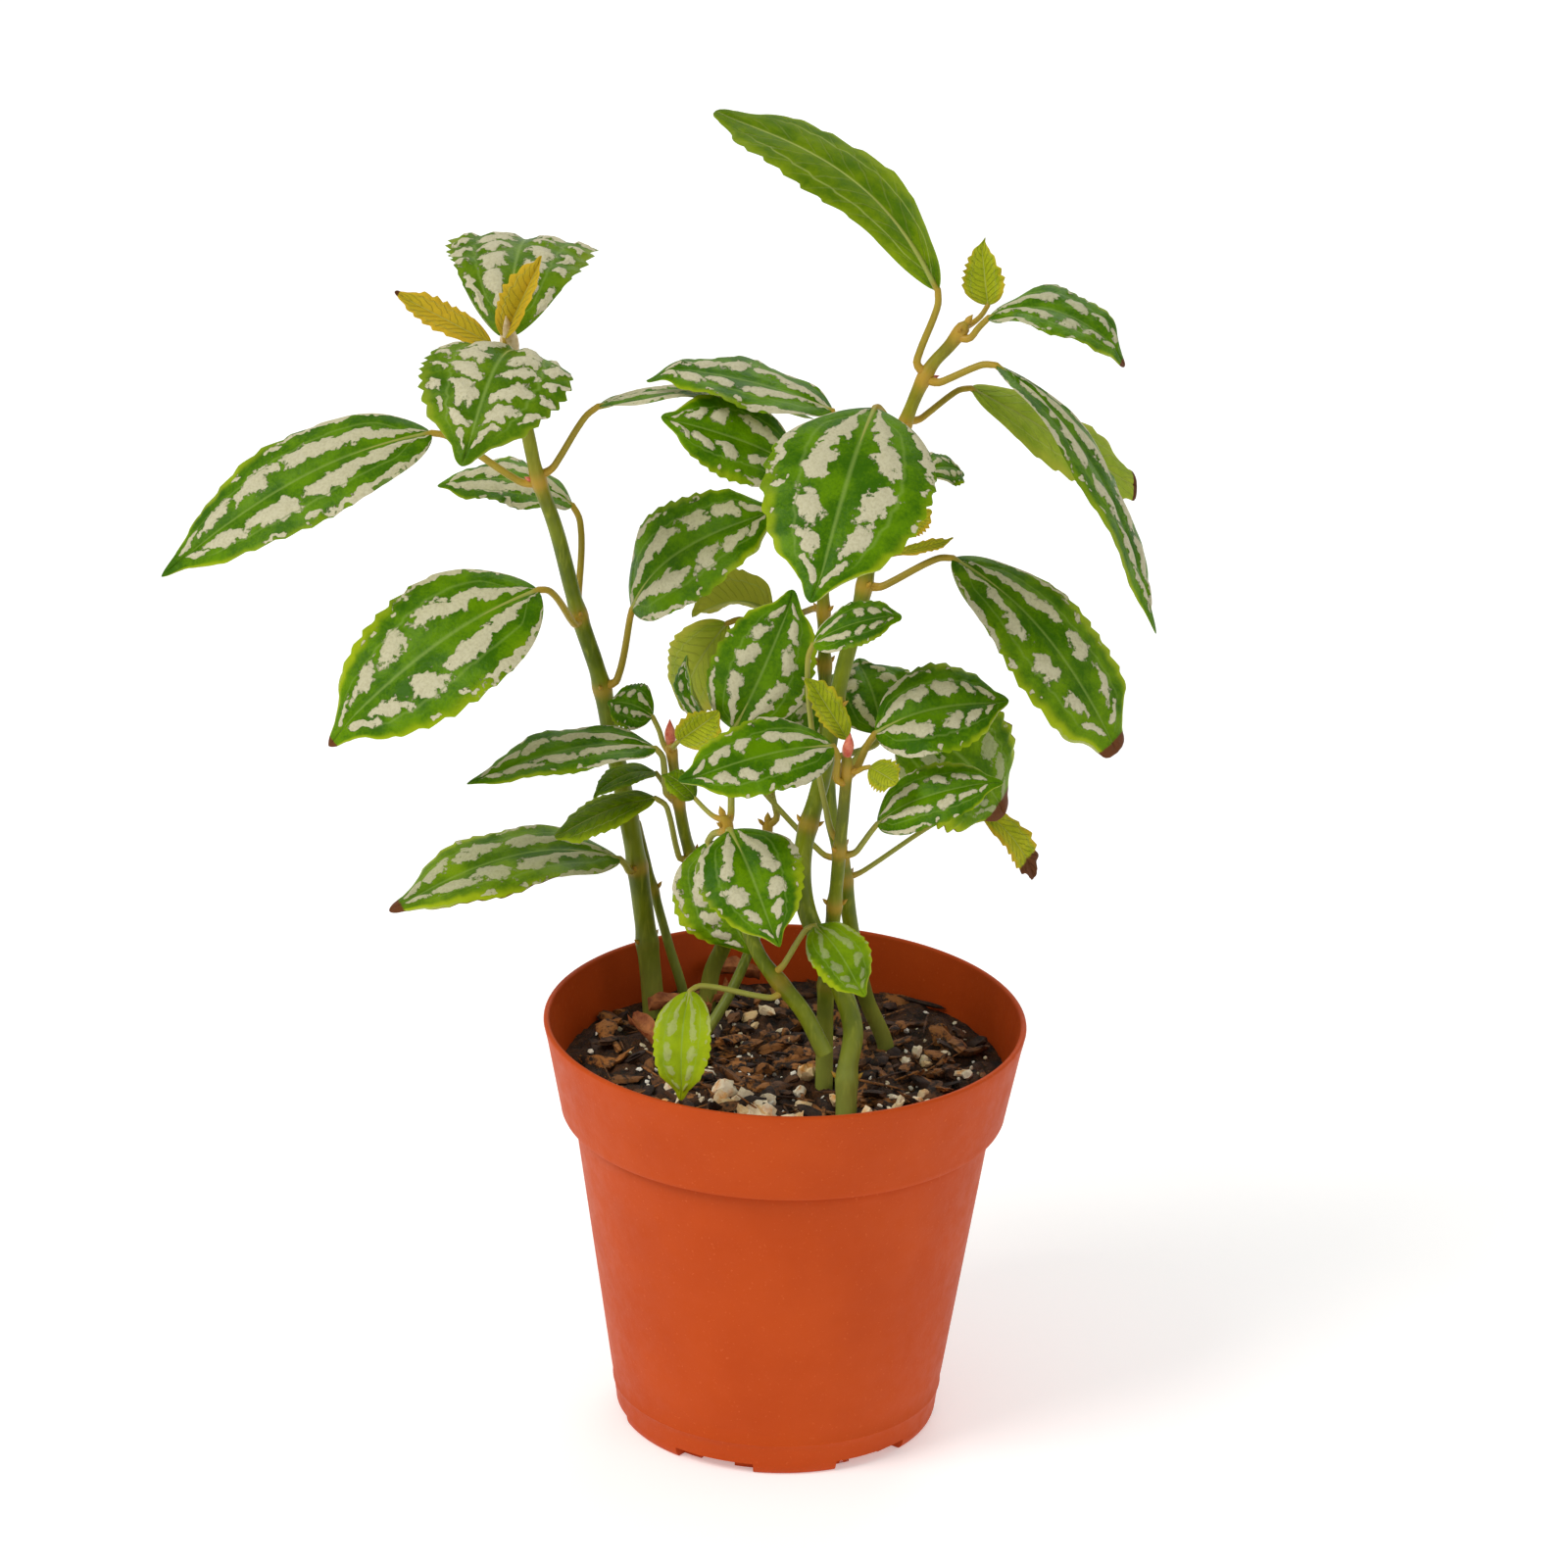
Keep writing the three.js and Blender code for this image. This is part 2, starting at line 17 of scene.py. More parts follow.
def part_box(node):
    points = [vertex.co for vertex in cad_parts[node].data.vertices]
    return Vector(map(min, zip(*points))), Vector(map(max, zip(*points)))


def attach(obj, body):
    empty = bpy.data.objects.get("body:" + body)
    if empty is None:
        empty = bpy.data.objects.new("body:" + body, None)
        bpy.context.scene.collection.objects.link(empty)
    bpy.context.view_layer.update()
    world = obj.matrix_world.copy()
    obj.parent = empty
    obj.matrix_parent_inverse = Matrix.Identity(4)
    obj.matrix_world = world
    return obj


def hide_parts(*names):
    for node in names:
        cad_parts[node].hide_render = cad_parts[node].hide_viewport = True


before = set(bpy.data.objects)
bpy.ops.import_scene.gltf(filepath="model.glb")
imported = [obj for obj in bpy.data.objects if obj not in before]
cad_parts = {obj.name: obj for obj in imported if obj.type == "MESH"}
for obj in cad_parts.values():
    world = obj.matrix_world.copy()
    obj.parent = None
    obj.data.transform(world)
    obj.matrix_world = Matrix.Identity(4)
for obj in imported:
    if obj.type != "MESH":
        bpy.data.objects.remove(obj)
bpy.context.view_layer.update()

MM = 0.001

# %% [markdown]
# ## Camera
# A long lens from a step and a half away, looking down at about twenty-two degrees, shows both
# the mix in the pot and the tops of the leaves, and hardly enlarges what is near. The camera's
# axes are written as a matrix, because a small roll is easier to give that way than as angles.

# %% Camera
EYE = Vector((0.0, -1.400, 0.7113))
LENS, FILM = 157.0, 36.0
NEAREST, FARTHEST = 0.05, 20.0
YAW, PITCH, ROLL = -0.0011, 0.380, 0.0245


def make_camera():
    ahead = Vector((math.sin(YAW) * math.cos(PITCH), math.cos(YAW) * math.cos(PITCH), -math.sin(PITCH)))
    level = Vector((math.cos(YAW), -math.sin(YAW), 0.0))
    over = level.cross(ahead)
    right = math.cos(ROLL) * level + math.sin(ROLL) * over
    up = -math.sin(ROLL) * level + math.cos(ROLL) * over
    data = bpy.data.cameras.new("camera")
    data.lens, data.sensor_width = LENS, FILM
    data.clip_start, data.clip_end = NEAREST, FARTHEST
    camera = bpy.data.objects.new("camera", data)
    turn = Matrix((right, up, -ahead)).transposed().to_4x4()
    camera.matrix_world = Matrix.Translation(EYE) @ turn
    bpy.context.scene.collection.objects.link(camera)
    bpy.context.scene.camera = camera
    return camera


camera = make_camera()
print("camera at", [round(v, 3) for v in camera.location], "lens", LENS)

# %% [markdown]
# ## Arithmetic for shaders
# A material is a graph of nodes, and formulas in a graph are slow to read. This class wraps one
# socket. Adding or multiplying two wires places the Math node, and every other node comes from
# the method `node`, which sets the node's own settings first and then its sockets.

# %% A wire in a material
class Wire:
    def __init__(self, tree, socket):
        self.tree, self.socket = tree, socket

    def node(self, kind, settings=None, inputs=None, output=0):
        made = self.tree.nodes.new(kind)
        for name, value in (settings or {}).items():
            setattr(made, name, value)
        for name, value in (inputs or {}).items():
            if isinstance(value, Wire):
                self.tree.links.new(value.socket, made.inputs[name])
            else:
                made.inputs[name].default_value = value
        return Wire(self.tree, made.outputs[output])

    def maths(self, operation, *values):
        return self.node("ShaderNodeMath", {"operation": operation}, dict(enumerate((self, *values))))

    def __add__(self, other):
        return self.maths("ADD", other)

    def __radd__(self, other):
        return self.maths("ADD", other)

    def __sub__(self, other):
        return self.maths("SUBTRACT", other)

    def __rsub__(self, other):
        return self.maths("MULTIPLY_ADD", -1.0, other)

    def __mul__(self, other):
        return self.maths("MULTIPLY", other)

    def __rmul__(self, other):
        return self.maths("MULTIPLY", other)

    def __truediv__(self, other):
        return self.maths("DIVIDE", other)

    def ramp(self, start, end, low=0.0, high=1.0):
        """Goes smoothly from low to high while this value goes from start to end."""
        sockets = {"Value": self, "From Min": start, "From Max": end, "To Min": low, "To Max": high}
        return self.node("ShaderNodeMapRange", {"interpolation_type": "SMOOTHSTEP"}, sockets)

    def blend(self, first, second):
        """A colour: first where this value is 0, second where it is 1."""
        return self.node("ShaderNodeMix", {"data_type": "RGBA"}, {0: self, 6: first, 7: second}, 2)


print("a wire also takes a number on its left:", [name for name in vars(Wire) if name.startswith("__r")])

# %% [markdown]
# Paint is mixed on a screen, but a shader counts light. `paint` turns the familiar
# 0 to 255 numbers into light, so that the colours below read like a colour card.

# %% Colour card
def paint(red, green, blue):
    def light(level):
        level /= 255
        return level / 12.92 if level <= 0.04045 else ((level + 0.055) / 1.055) ** 2.4

    return (light(red), light(green), light(blue), 1.0)


print("leaf green as light:", [round(v, 3) for v in paint(70, 120, 35)])

# %% [markdown]
# Every finish is one Principled shader. What is the same all over the surface is set on its
# sockets, and a small function builds the rest. Thin pieces also let light through: they blend
# in a share of a translucent shader. Clouds of noise, bumps and numbers kept with the mesh are
# what nearly all of the finishes are made from, so each of them has a helper.

# %% Finishes from one shader
def new_finish(name, build, **uniform):
    """A material with one Principled shader. build gives the sockets that change over the surface."""
    material = bpy.data.materials.new(name)
    material.use_nodes = True
    tree = material.node_tree
    tree.nodes.clear()
    shader = tree.nodes.new("ShaderNodeBsdfPrincipled")
    for socket, value in uniform.items():
        shader.inputs[socket.replace("_", " ")].default_value = value
    place = Wire(tree, tree.nodes.new("ShaderNodeTexCoord").outputs["Object"])
    made = build(place)
    glow = made.pop("glow", None)
    for socket, wire in made.items():
        tree.links.new(wire.socket, shader.inputs[socket])
    last = Wire(tree, shader.outputs[0])
    if glow:
        share, colour = glow
        through = place.node("ShaderNodeBsdfTranslucent", {}, {"Color": colour})
        last = place.node("ShaderNodeMixShader", {}, {0: share, 1: last, 2: through})
    tree.links.new(last.socket, tree.nodes.new("ShaderNodeOutputMaterial").inputs["Surface"])
    print(f"{name}: {len(tree.nodes)} nodes")
    return material


def cloudy(place, per_metre, detail=3.0, rough=0.55):
    """Soft irregular clouds, about a metre divided by per_metre across."""
    sockets = {"Vector": place, "Scale": per_metre, "Detail": detail, "Roughness": rough}
    return place.node("ShaderNodeTexNoise", {}, sockets, "Fac")


def numbered(place, name):
    """A number that the mesh keeps for each of its points."""
    return place.node("ShaderNodeAttribute", {"attribute_name": name}, {}, "Fac")


def bumped(place, height, depth):
    """A normal from a height of 0 to 1 that stands for a depth in metres."""
    sockets = {"Height": height, "Distance": depth, "Strength": 1.0}
    return place.node("ShaderNodeBump", {}, sockets, "Normal")


print("helpers:", [made.__name__ for made in (new_finish, cloudy, numbered, bumped)])

# %% [markdown]
# ## The pot's plastic
# Grower pots are injection moulded in a matt orange-brown polypropylene. It is one colour, but
# not a flat one: the filler leaves faint clouds and pale specks, and the mould's satin texture
# scatters the light. A large cloud, a fine speck and a very low bump give all three.

# %% Pot plastic
def pot_plastic(place):
    clouds = cloudy(place, 38.0, 4.0)
    specks = cloudy(place, 1500.0, 1.0)
    scuffs = cloudy(place, 260.0, 5.0, 0.7)
    colour = clouds.ramp(0.3, 0.7).blend(paint(184, 68, 12), paint(192, 74, 17))
    colour = specks.ramp(0.66, 0.78, 0.0, 0.35).blend(colour, paint(214, 104, 52))
    return {
        "Base Color": colour,
        "Roughness": scuffs.ramp(0.3, 0.7, 0.46, 0.6),
        "Normal": bumped(place, scuffs + specks * 0.4, 0.00006),
    }


plastic = new_finish("pot_plastic", pot_plastic, IOR=1.49, Specular_IOR_Level=0.14)

# %% [markdown]
# ## The potting mix
# Damp peat is almost black, with brown fibres. The surface underneath the loose chips is one
# dark finish whose bump is strong, and every loose piece has a finish of its own: reddish bark,
# sand-coloured pumice with tiny pits, white perlite, and papery dead leaf. The number `tone` is
# different on every chip, pebble and crumb, and keeps neighbours from looking alike.

# %% Mix, bark, pumice, perlite and dead leaf
def peat_finish(place):
    lumps = cloudy(place, 240.0, 6.0, 0.7)
    grains = cloudy(place, 1100.0, 3.0, 0.7)
    colour = lumps.ramp(0.35, 0.65).blend(paint(16, 8, 2), paint(88, 50, 14))
    colour = grains.ramp(0.62, 0.72).blend(colour, paint(160, 110, 46))
    return {
        "Base Color": colour,
        "Roughness": grains.ramp(0.3, 0.7, 0.75, 0.95),
        "Normal": bumped(place, lumps + grains * 0.6, 0.0022),
    }


def bark_finish(place):
    fibres = cloudy(place, 420.0, 5.0, 0.7)
    tone = numbered(place, "tone")
    colour = tone.ramp(0.0, 1.0).blend(paint(42, 20, 6), paint(160, 100, 38))
    colour = fibres.ramp(0.44, 0.6).blend(colour, paint(28, 13, 4))
    return {
        "Base Color": colour,
        "Roughness": fibres.ramp(0.3, 0.7, 0.7, 0.9),
        "Normal": bumped(place, fibres, 0.0005),
    }


def pumice_finish(place):
    pits = cloudy(place, 1700.0, 3.0, 0.7)
    stains = cloudy(place, 300.0, 2.0)
    tone = numbered(place, "tone")
    colour = tone.ramp(0.0, 1.0).blend(paint(234, 200, 146), paint(253, 240, 212))
    colour = stains.ramp(0.5, 0.72).blend(colour, paint(226, 158, 80))
    colour = pits.ramp(0.62, 0.76).blend(colour, paint(150, 98, 50))
    return {
        "Base Color": colour,
        "Roughness": pits.ramp(0.3, 0.7, 0.8, 0.95),
        "Normal": bumped(place, 1.0 - pits, 0.0004),
    }


def perlite_finish(place):
    pits = cloudy(place, 2600.0, 2.0)
    colour = numbered(place, "tone").ramp(0.0, 1.0).blend(paint(222, 206, 172), paint(252, 248, 236))
    return {
        "Base Color": colour,
        "Roughness": pits.ramp(0.3, 0.7, 0.8, 0.95),
        "Normal": bumped(place, pits, 0.0002),
    }


def dead_leaf_finish(place):
    folds = cloudy(place, 380.0, 4.0, 0.6)
    colour = folds.ramp(0.3, 0.7).blend(paint(148, 74, 34), paint(214, 138, 82))
    return {
        "Base Color": colour,
        "Roughness": folds.ramp(0.3, 0.7, 0.6, 0.8),
        "Normal": bumped(place, folds, 0.0004),
        "glow": (0.2, colour),
    }


peat = new_finish("peat", peat_finish)
bark = new_finish("bark", bark_finish)
pumice = new_finish("pumice", pumice_finish)
perlite = new_finish("perlite", perlite_finish)
dead_leaf = new_finish("dead_leaf", dead_leaf_finish)

# %% [markdown]
# ## Stem flesh
# The stems are green and watery, with fine streaks lengthwise, and turn amber and then red
# where leaves join. The mesh keeps two numbers for them. `blush` is near 0 in the middle of a
# stem and higher at its joints, and `pale` bleaches a stem's foot and the low stalks. The streaks
# are clouds in a place that is squeezed along Z, so they come out long and thin. Buds have a
# finish of their own, red on some stems and cream on the left one.

# %% Stem flesh and bud
def flesh_finish(place):
    blush = numbered(place, "blush")
    pale = numbered(place, "pale")
    drawn_out = place.node("ShaderNodeVectorMath", {"operation": "MULTIPLY"}, {0: place, 1: (1.0, 1.0, 0.12)})
    streaks = cloudy(drawn_out, 900.0, 3.0)
    clouds = cloudy(place, 90.0, 3.0)
    colour = clouds.ramp(0.3, 0.7).blend(paint(90, 106, 0), paint(128, 140, 8))
    colour = streaks.ramp(0.5, 0.72, 0.0, 0.6).blend(colour, paint(152, 160, 44))
    colour = pale.blend(colour, paint(166, 176, 84))
    colour = (blush * (0.75 + 0.5 * clouds)).ramp(0.05, 0.75).blend(colour, paint(190, 152, 48))
    colour = (blush + streaks * 0.2).ramp(0.85, 1.15).blend(colour, paint(176, 86, 52))
    return {
        "Base Color": colour,
        "Roughness": streaks.ramp(0.3, 0.7, 0.36, 0.5),
        "Normal": bumped(place, streaks, 0.00012),
        "glow": (0.12, colour),
    }


def bud_finish(dark, light):
    def build(place):
        veins = cloudy(place, 700.0, 3.0)
        colour = veins.ramp(0.3, 0.7).blend(dark, light)
        return {
            "Base Color": colour,
            "Roughness": veins.ramp(0.3, 0.7, 0.35, 0.5),
            "Normal": bumped(place, veins, 0.0001),
            "glow": (0.15, colour),
        }

    return build


flesh = new_finish("stem_flesh", flesh_finish, Specular_IOR_Level=0.3)
bud_red = new_finish("bud_red", bud_finish(paint(208, 88, 66), paint(238, 146, 112)))
bud_cream = new_finish("bud_cream", bud_finish(paint(206, 176, 118), paint(240, 218, 176)))

# %% [markdown]
# ## Silver patches
# The silver is air trapped under the leaf's skin, where the blade is blown up between its veins.
# A leaf has one row of large patches on each side of the midrib. Near the base they run together
# into a stripe, and toward the tip they are short and slanted. Small spots follow the margin.
# Each patch is listed once as an oval: its place along and across the blade, its half length,
# its half width, and its slant. The mesh uses the list to raise the blade, and the material
# uses it to paint, so that paint and relief always agree.

# %% The patches, as shares of the blade
OLD_PATCHES = [
    (0.13, 0.24, 0.120, 0.085, 0.20),
    (0.25, 0.33, 0.110, 0.120, 0.18),
    (0.37, 0.40, 0.085, 0.165, 0.10),
    (0.575, 0.41, 0.075, 0.200, -0.12),
    (0.740, 0.39, 0.066, 0.190, -0.16),
    (0.870, 0.36, 0.040, 0.190, -0.16),
    (0.22, 0.93, 0.210, 0.075, 0.00),
    (0.47, 0.84, 0.020, 0.060, -0.05),
    (0.62, 0.88, 0.018, 0.045, -0.05),
]
CROWN_PATCHES = [
    (0.12, 0.25, 0.095, 0.14, 0.14),
    (0.24, 0.34, 0.080, 0.20, 0.06),
    (0.38, 0.34, 0.060, 0.23, -0.12),
    (0.51, 0.35, 0.052, 0.24, -0.16),
    (0.64, 0.35, 0.050, 0.24, -0.18),
    (0.77, 0.34, 0.042, 0.22, -0.18),
    (0.87, 0.33, 0.030, 0.18, -0.18),
    (0.18, 0.84, 0.100, 0.10, 0.00),
    (0.36, 0.80, 0.040, 0.13, -0.12),
    (0.49, 0.80, 0.036, 0.12, -0.12),
    (0.61, 0.80, 0.034, 0.12, -0.12),
    (0.73, 0.80, 0.030, 0.11, -0.12),
]


def patch_distance(patches, along, across):
    """0 in the middle of the nearest patch and 1 on its edge."""
    nearest = math.inf
    for middle, row, half_length, half_width, slant in patches:
        over = (across - row) / half_width
        ahead = (along - middle - slant * (across - row)) / half_length
        nearest = min(nearest, math.hypot(over, ahead))
    return nearest


def patch_wire(patches, along, across):
    """The same distance, squared, as nodes."""
    nearest = None
    for middle, row, half_length, half_width, slant in patches:
        over = (across - row) / half_width
        ahead = (along - across * slant - (middle - slant * row)) / half_length
        squared = over * over + ahead * ahead
        nearest = nearest.maths("MINIMUM", squared) if nearest else squared
    return nearest


print(len(OLD_PATCHES), "patches on each half of an old leaf,", len(CROWN_PATCHES), "on a crown leaf")

# %% [markdown]
# ## Leaf finishes
# Every blade has a fine pale midrib and two side veins that start at its base and bend outward.
# They are painted in the blade's own measure, which its UV map keeps: along it from the base to
# the tip, and across it from the midrib to the margin. Old leaves also dry from the tip, and the
# mesh keeps a number that says how far.

# %% Veins and dry tips
SIDE_ROW, SIDE_ROW_START = 0.60, 0.16


def blade_place(place):
    """Along the blade from 0 to 1, and across it from 0 at the midrib to 1 at the margin."""
    spread = place.node("ShaderNodeUVMap", {"uv_map": "blade"}, {}, "UV")
    parts = place.node("ShaderNodeSeparateXYZ", {}, {"Vector": spread}, "X")
    across = Wire(place.tree, parts.socket.node.outputs["Y"]) * 2.0 - 1.0
    return parts, across.maths("ABSOLUTE")


def vein_wire(along, across):
    """1 on the midrib and on the two side veins."""
    midrib = across.ramp(0.0, 0.045, 1.0, 0.0)
    side_row = along.ramp(0.0, SIDE_ROW_START, 0.0, SIDE_ROW)
    side = (across - side_row).maths("ABSOLUTE").ramp(0.0, 0.04, 0.6, 0.0) * along.ramp(0.75, 0.9, 1.0, 0.0)
    return midrib.maths("MAXIMUM", side)


def withered(place, colour):
    """Browns the end of a blade, as far as the mesh's own number says."""
    edge = numbered(place, "brown") + cloudy(place, 500.0, 3.0) * 0.5 - 0.25
    return edge.ramp(0.35, 0.6).blend(colour, paint(112, 66, 34))


print("the side veins run at", SIDE_ROW, "of the way from the midrib to the margin")

# %% [markdown]
# The upper side is a satin green that pales toward the margin and yellows with age. The edge of
# each silver patch is ragged, so the place is bent a little and fine clouds are added to the
# distance before it is cut off. The silver leaves the veins green, and some of it lines the very
# margin. Some light comes through a blade, so the finish lets a share of it pass. Crown leaves
# have the same finish with patches and greens of their own.

# %% Striped leaves
PATCH_EDGE = 0.95
LEAF_GLOSS = 0.09
SILVER_TONES = paint(198, 191, 156), paint(214, 208, 176)


def striped_finish(patches, deep, fresh, warm):
    def build(place):
        along, across = blade_place(place)
        clouds = cloudy(place, 130.0, 3.0)
        grain = cloudy(place, 1500.0, 3.0, 0.65)
        ragged = cloudy(place, 900.0, 4.0, 0.7)
        veins = vein_wire(along, across)
        colour = (clouds * 0.7 + grain * 0.3).ramp(0.36, 0.64).blend(deep, fresh)
        edge = across.ramp(0.74, 1.0) * along.ramp(0.1, 0.9, 0.2, 0.8) + numbered(place, "warm") * 0.6
        colour = (edge + clouds * 0.5 - 0.25).ramp(0.1, 0.95).blend(colour, warm)
        colour = (veins * 0.55).blend(colour, paint(150, 178, 84))
        ahead = along + (cloudy(place, 240.0, 2.0) - 0.5) * 0.17
        over = across + (cloudy(place, 310.0, 2.0) - 0.5) * 0.42
        distance = patch_wire(patches, ahead, over) + (ragged - 0.5) * 2.4 + (grain - 0.5) * 0.8
        patch = (distance - numbered(place, "rich")).ramp(PATCH_EDGE - 0.22, PATCH_EDGE + 0.18, 1.0, 0.0)
        rim = (across + (ragged - 0.5) * 0.10).ramp(0.965, 0.99)
        rim = rim * (along - 0.5).maths("ABSOLUTE").ramp(0.2, 0.45)
        patch = patch.maths("MAXIMUM", rim * 0.45)
        patch = patch * veins.ramp(0.3, 0.9, 1.0, 0.0) * numbered(place, "silver")
        mottled = grain.ramp(0.3, 0.62).blend(*SILVER_TONES)
        colour = patch.blend(colour, mottled)
        colour = withered(place, colour)
        height = grain * 0.5 + ragged * 0.5 + patch * 0.8
        return {
            "Base Color": colour,
            "Roughness": (patch + grain * 0.2).ramp(0.0, 1.2, 0.33, 0.52),
            "Normal": bumped(place, height, 0.00024),
            "glow": (0.16, colour),
        }

    return build


striped_old = new_finish(
    "striped_leaf",
    striped_finish(OLD_PATCHES, paint(58, 104, 0), paint(102, 146, 0), paint(166, 186, 20)),
    Specular_IOR_Level=LEAF_GLOSS,
)
striped_crown = new_finish(
    "crown_leaf",
    striped_finish(CROWN_PATCHES, paint(70, 110, 2), paint(108, 142, 12), paint(140, 160, 30)),
    Specular_IOR_Level=LEAF_GLOSS,
)

# %% [markdown]
# Plain blades have no silver. A net of fine ribs runs from the midrib toward the margin: it is
# the fraction of a slanted count along the blade, which jumps where a rib is. The same finish
# with other greens makes the big plain leaf, the yellow young ones and all undersides. The
# undersides' greens are the blade's own pale underside, made lighter as painted light shining
# through the blade.

# %% Plain leaves and undersides
RIBS_ALONG, RIB_SLANT = 11.0, 2.6


def plain_finish(deep, fresh, warm, share):
    def build(place):
        along, across = blade_place(place)
        clouds = cloudy(place, 150.0, 3.0)
        grain = cloudy(place, 1400.0, 3.0, 0.65)
        veins = vein_wire(along, across)
        net = (along * RIBS_ALONG - across * RIB_SLANT + clouds * 0.5).maths("FRACT")
        ribs = (net - 0.5).maths("ABSOLUTE").ramp(0.38, 0.5) * across.ramp(0.02, 0.12)
        ribs = ribs * across.ramp(0.6, 0.95, 1.0, 0.2)
        colour = (clouds * 0.7 + grain * 0.3).ramp(0.35, 0.65).blend(deep, fresh)
        ripe = across.ramp(0.6, 1.0) * 0.5 + numbered(place, "warm") * 0.8 + clouds * 0.4 - 0.2
        colour = ripe.ramp(0.1, 0.9).blend(colour, warm)
        colour = (veins.maths("MAXIMUM", ribs * 0.2) * 0.75).blend(colour, paint(204, 212, 120))
        colour = withered(place, colour)
        return {
            "Base Color": colour,
            "Roughness": grain.ramp(0.3, 0.7, 0.4, 0.54),
            "Normal": bumped(place, grain * 0.4 - ribs * 0.6 - veins * 0.5, 0.0003),
            "glow": (share, colour),
        }

    return build


plain_top = new_finish(
    "plain_leaf",
    plain_finish(paint(80, 118, 0), paint(122, 150, 0), paint(162, 182, 20), 0.16),
    Specular_IOR_Level=LEAF_GLOSS,
)
young_top = new_finish(
    "young_leaf",
    plain_finish(paint(158, 176, 20), paint(196, 202, 44), paint(218, 185, 46), 0.25),
    Specular_IOR_Level=LEAF_GLOSS,
)
# the leaf's own pale underside greens, made lighter as painted light shining through the blade
underside_and_painted_light = new_finish(
    "leaf_underside_and_painted_light",
    plain_finish(paint(160, 184, 50), paint(186, 202, 70), paint(208, 206, 78), 0.33),
    Specular_IOR_Level=LEAF_GLOSS,
)
print(len(bpy.data.materials), "finishes")

# %% [markdown]
# ## Sizes
# The pot's height and rim come from the frame, and its other sizes follow the CAD sheet, in
# millimetres. The wall leans outward at one slope below the collar and at another in it, so two
# small functions give the outside radius at any height. The mix keeps a hair's gap to the wall.

# %% Sizes of the pot and the mix
_, pot_high = (Vector(corner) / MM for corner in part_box("pot"))
POT_HEIGHT = pot_high.z
RIM, BASE = pot_high.x, 36.0
WALL, FOOT, PLATE, CORNER = 1.4, 3.0, 1.6, 3.0
COLLAR_LOW, COLLAR_RADIUS, COLLAR_STEP, LIP = POT_HEIGHT - 23.0, RIM - 4.5, 2.6, 0.7
SOIL_GAP = 0.35
SOIL_TOP = POT_HEIGHT - 12.0
SOIL_LOW = FOOT + PLATE + SOIL_GAP
ROOT_DEPTH = 14.0


def between(low, high, share):
    return low + (high - low) * share


def smooth(low, high, value):
    share = min(1.0, max(0.0, (value - low) / (high - low)))
    return share * share * (3.0 - 2.0 * share)


def body_outside(z):
    return between(BASE, COLLAR_RADIUS - COLLAR_STEP, z / COLLAR_LOW)


def collar_outside(z):
    return between(COLLAR_RADIUS, RIM, (z - COLLAR_LOW) / (POT_HEIGHT - COLLAR_LOW))


SOIL_RADIUS = collar_outside(SOIL_TOP) - WALL - SOIL_GAP
print(f"pot {POT_HEIGHT:.0f} mm tall, {2 * RIM:.0f} mm across; mix {2 * SOIL_RADIUS:.0f} mm across")

# %% [markdown]
# ## Growth table
# The plant is one table for stems and one for leaves, so that a leaf can be moved without looking
# through the code. Heights are measured from the mix and distances from the pot's axis. `grown`
# turns a row into a place in the frame. Close to the mix the plant is pulled in a little, because
# the pot holds it.

# %% Growth table
OPEN_SPREAD = 50.0
HELD_BELOW, FREE_ABOVE = 20.0, 60.0


def grown(row):
    x, y, height = row
    held = 1.0 - smooth(HELD_BELOW, FREE_ABOVE, height)
    spread = between(1.0, SOIL_RADIUS / OPEN_SPREAD, held)
    return Vector((x * spread, y * spread, SOIL_TOP + height))


# stem: rooted in the mix or not, the radius at the foot and at the top, then places along it
STEMS = {
    "left": (True, 2.7, 1.4, [(-30, 27, 0), (-34, 26, 35), (-38, 24, 58), (-40, 22, 68), (-43, 20, 84),
             (-48, 17, 101), (-53, 13, 122), (-57, 10, 135), (-59, 8, 145), (-62, 5, 161), (-63, 5, 165)]),
    "left_side": (True, 1.3, 0.9, [(-23, 34, 0), (-27, 37, 13), (-30, 39, 23), (-33, 37, 36), (-35, 34, 46)]),
    "red_bud": (True, 2.3, 1.1, [(-18, 30, 0), (-17, 29, 10), (-14, 25, 20), (-15, 18, 31), (-22, 12, 46),
                (-25, 8, 61), (-26, 6, 69), (-27, 6, 76)]),
    "front": (False, 2.0, 1.3, [(9, -24, 14), (4, -22, 23), (-1, -21, 29), (-6, -19, 35), (-11, -15, 47),
              (-13, -13, 57), (-14, -12, 63), (-15, -12, 66)]),
    "back": (True, 1.4, 1.0, [(-21, 0, 0), (-12, 6, 16), (-7, 12, 28), (-5, 13, 44), (-5, 13, 55)]),
    "tall_right": (True, 2.5, 1.4, [(14, -26, 0), (14, -24, 10), (15, -21, 19), (10, -17, 32), (4, -13, 44),
                   (3, -10, 56), (7, -5, 73), (10, -1, 92), (14, 2, 109), (16, 4, 120), (19, 6, 135),
                   (23, 7, 151), (28, 8, 163), (32, 8, 168), (36, 8, 174)]),
    "short_right": (True, 2.2, 1.2, [(9, -11, 0), (9, -9, 28), (10, -10, 40), (11, -14, 58), (12, -18, 78),
                    (12, -19, 84)]),
    "slim_right": (True, 2.0, 1.2, [(23, 11, 0), (18, 8, 14), (14, 3, 34), (12, 2, 48), (9, 3, 60),
                   (8, 4, 71), (7, 6, 89), (6, 8, 111), (5, 9, 134), (4, 10, 147)]),
}

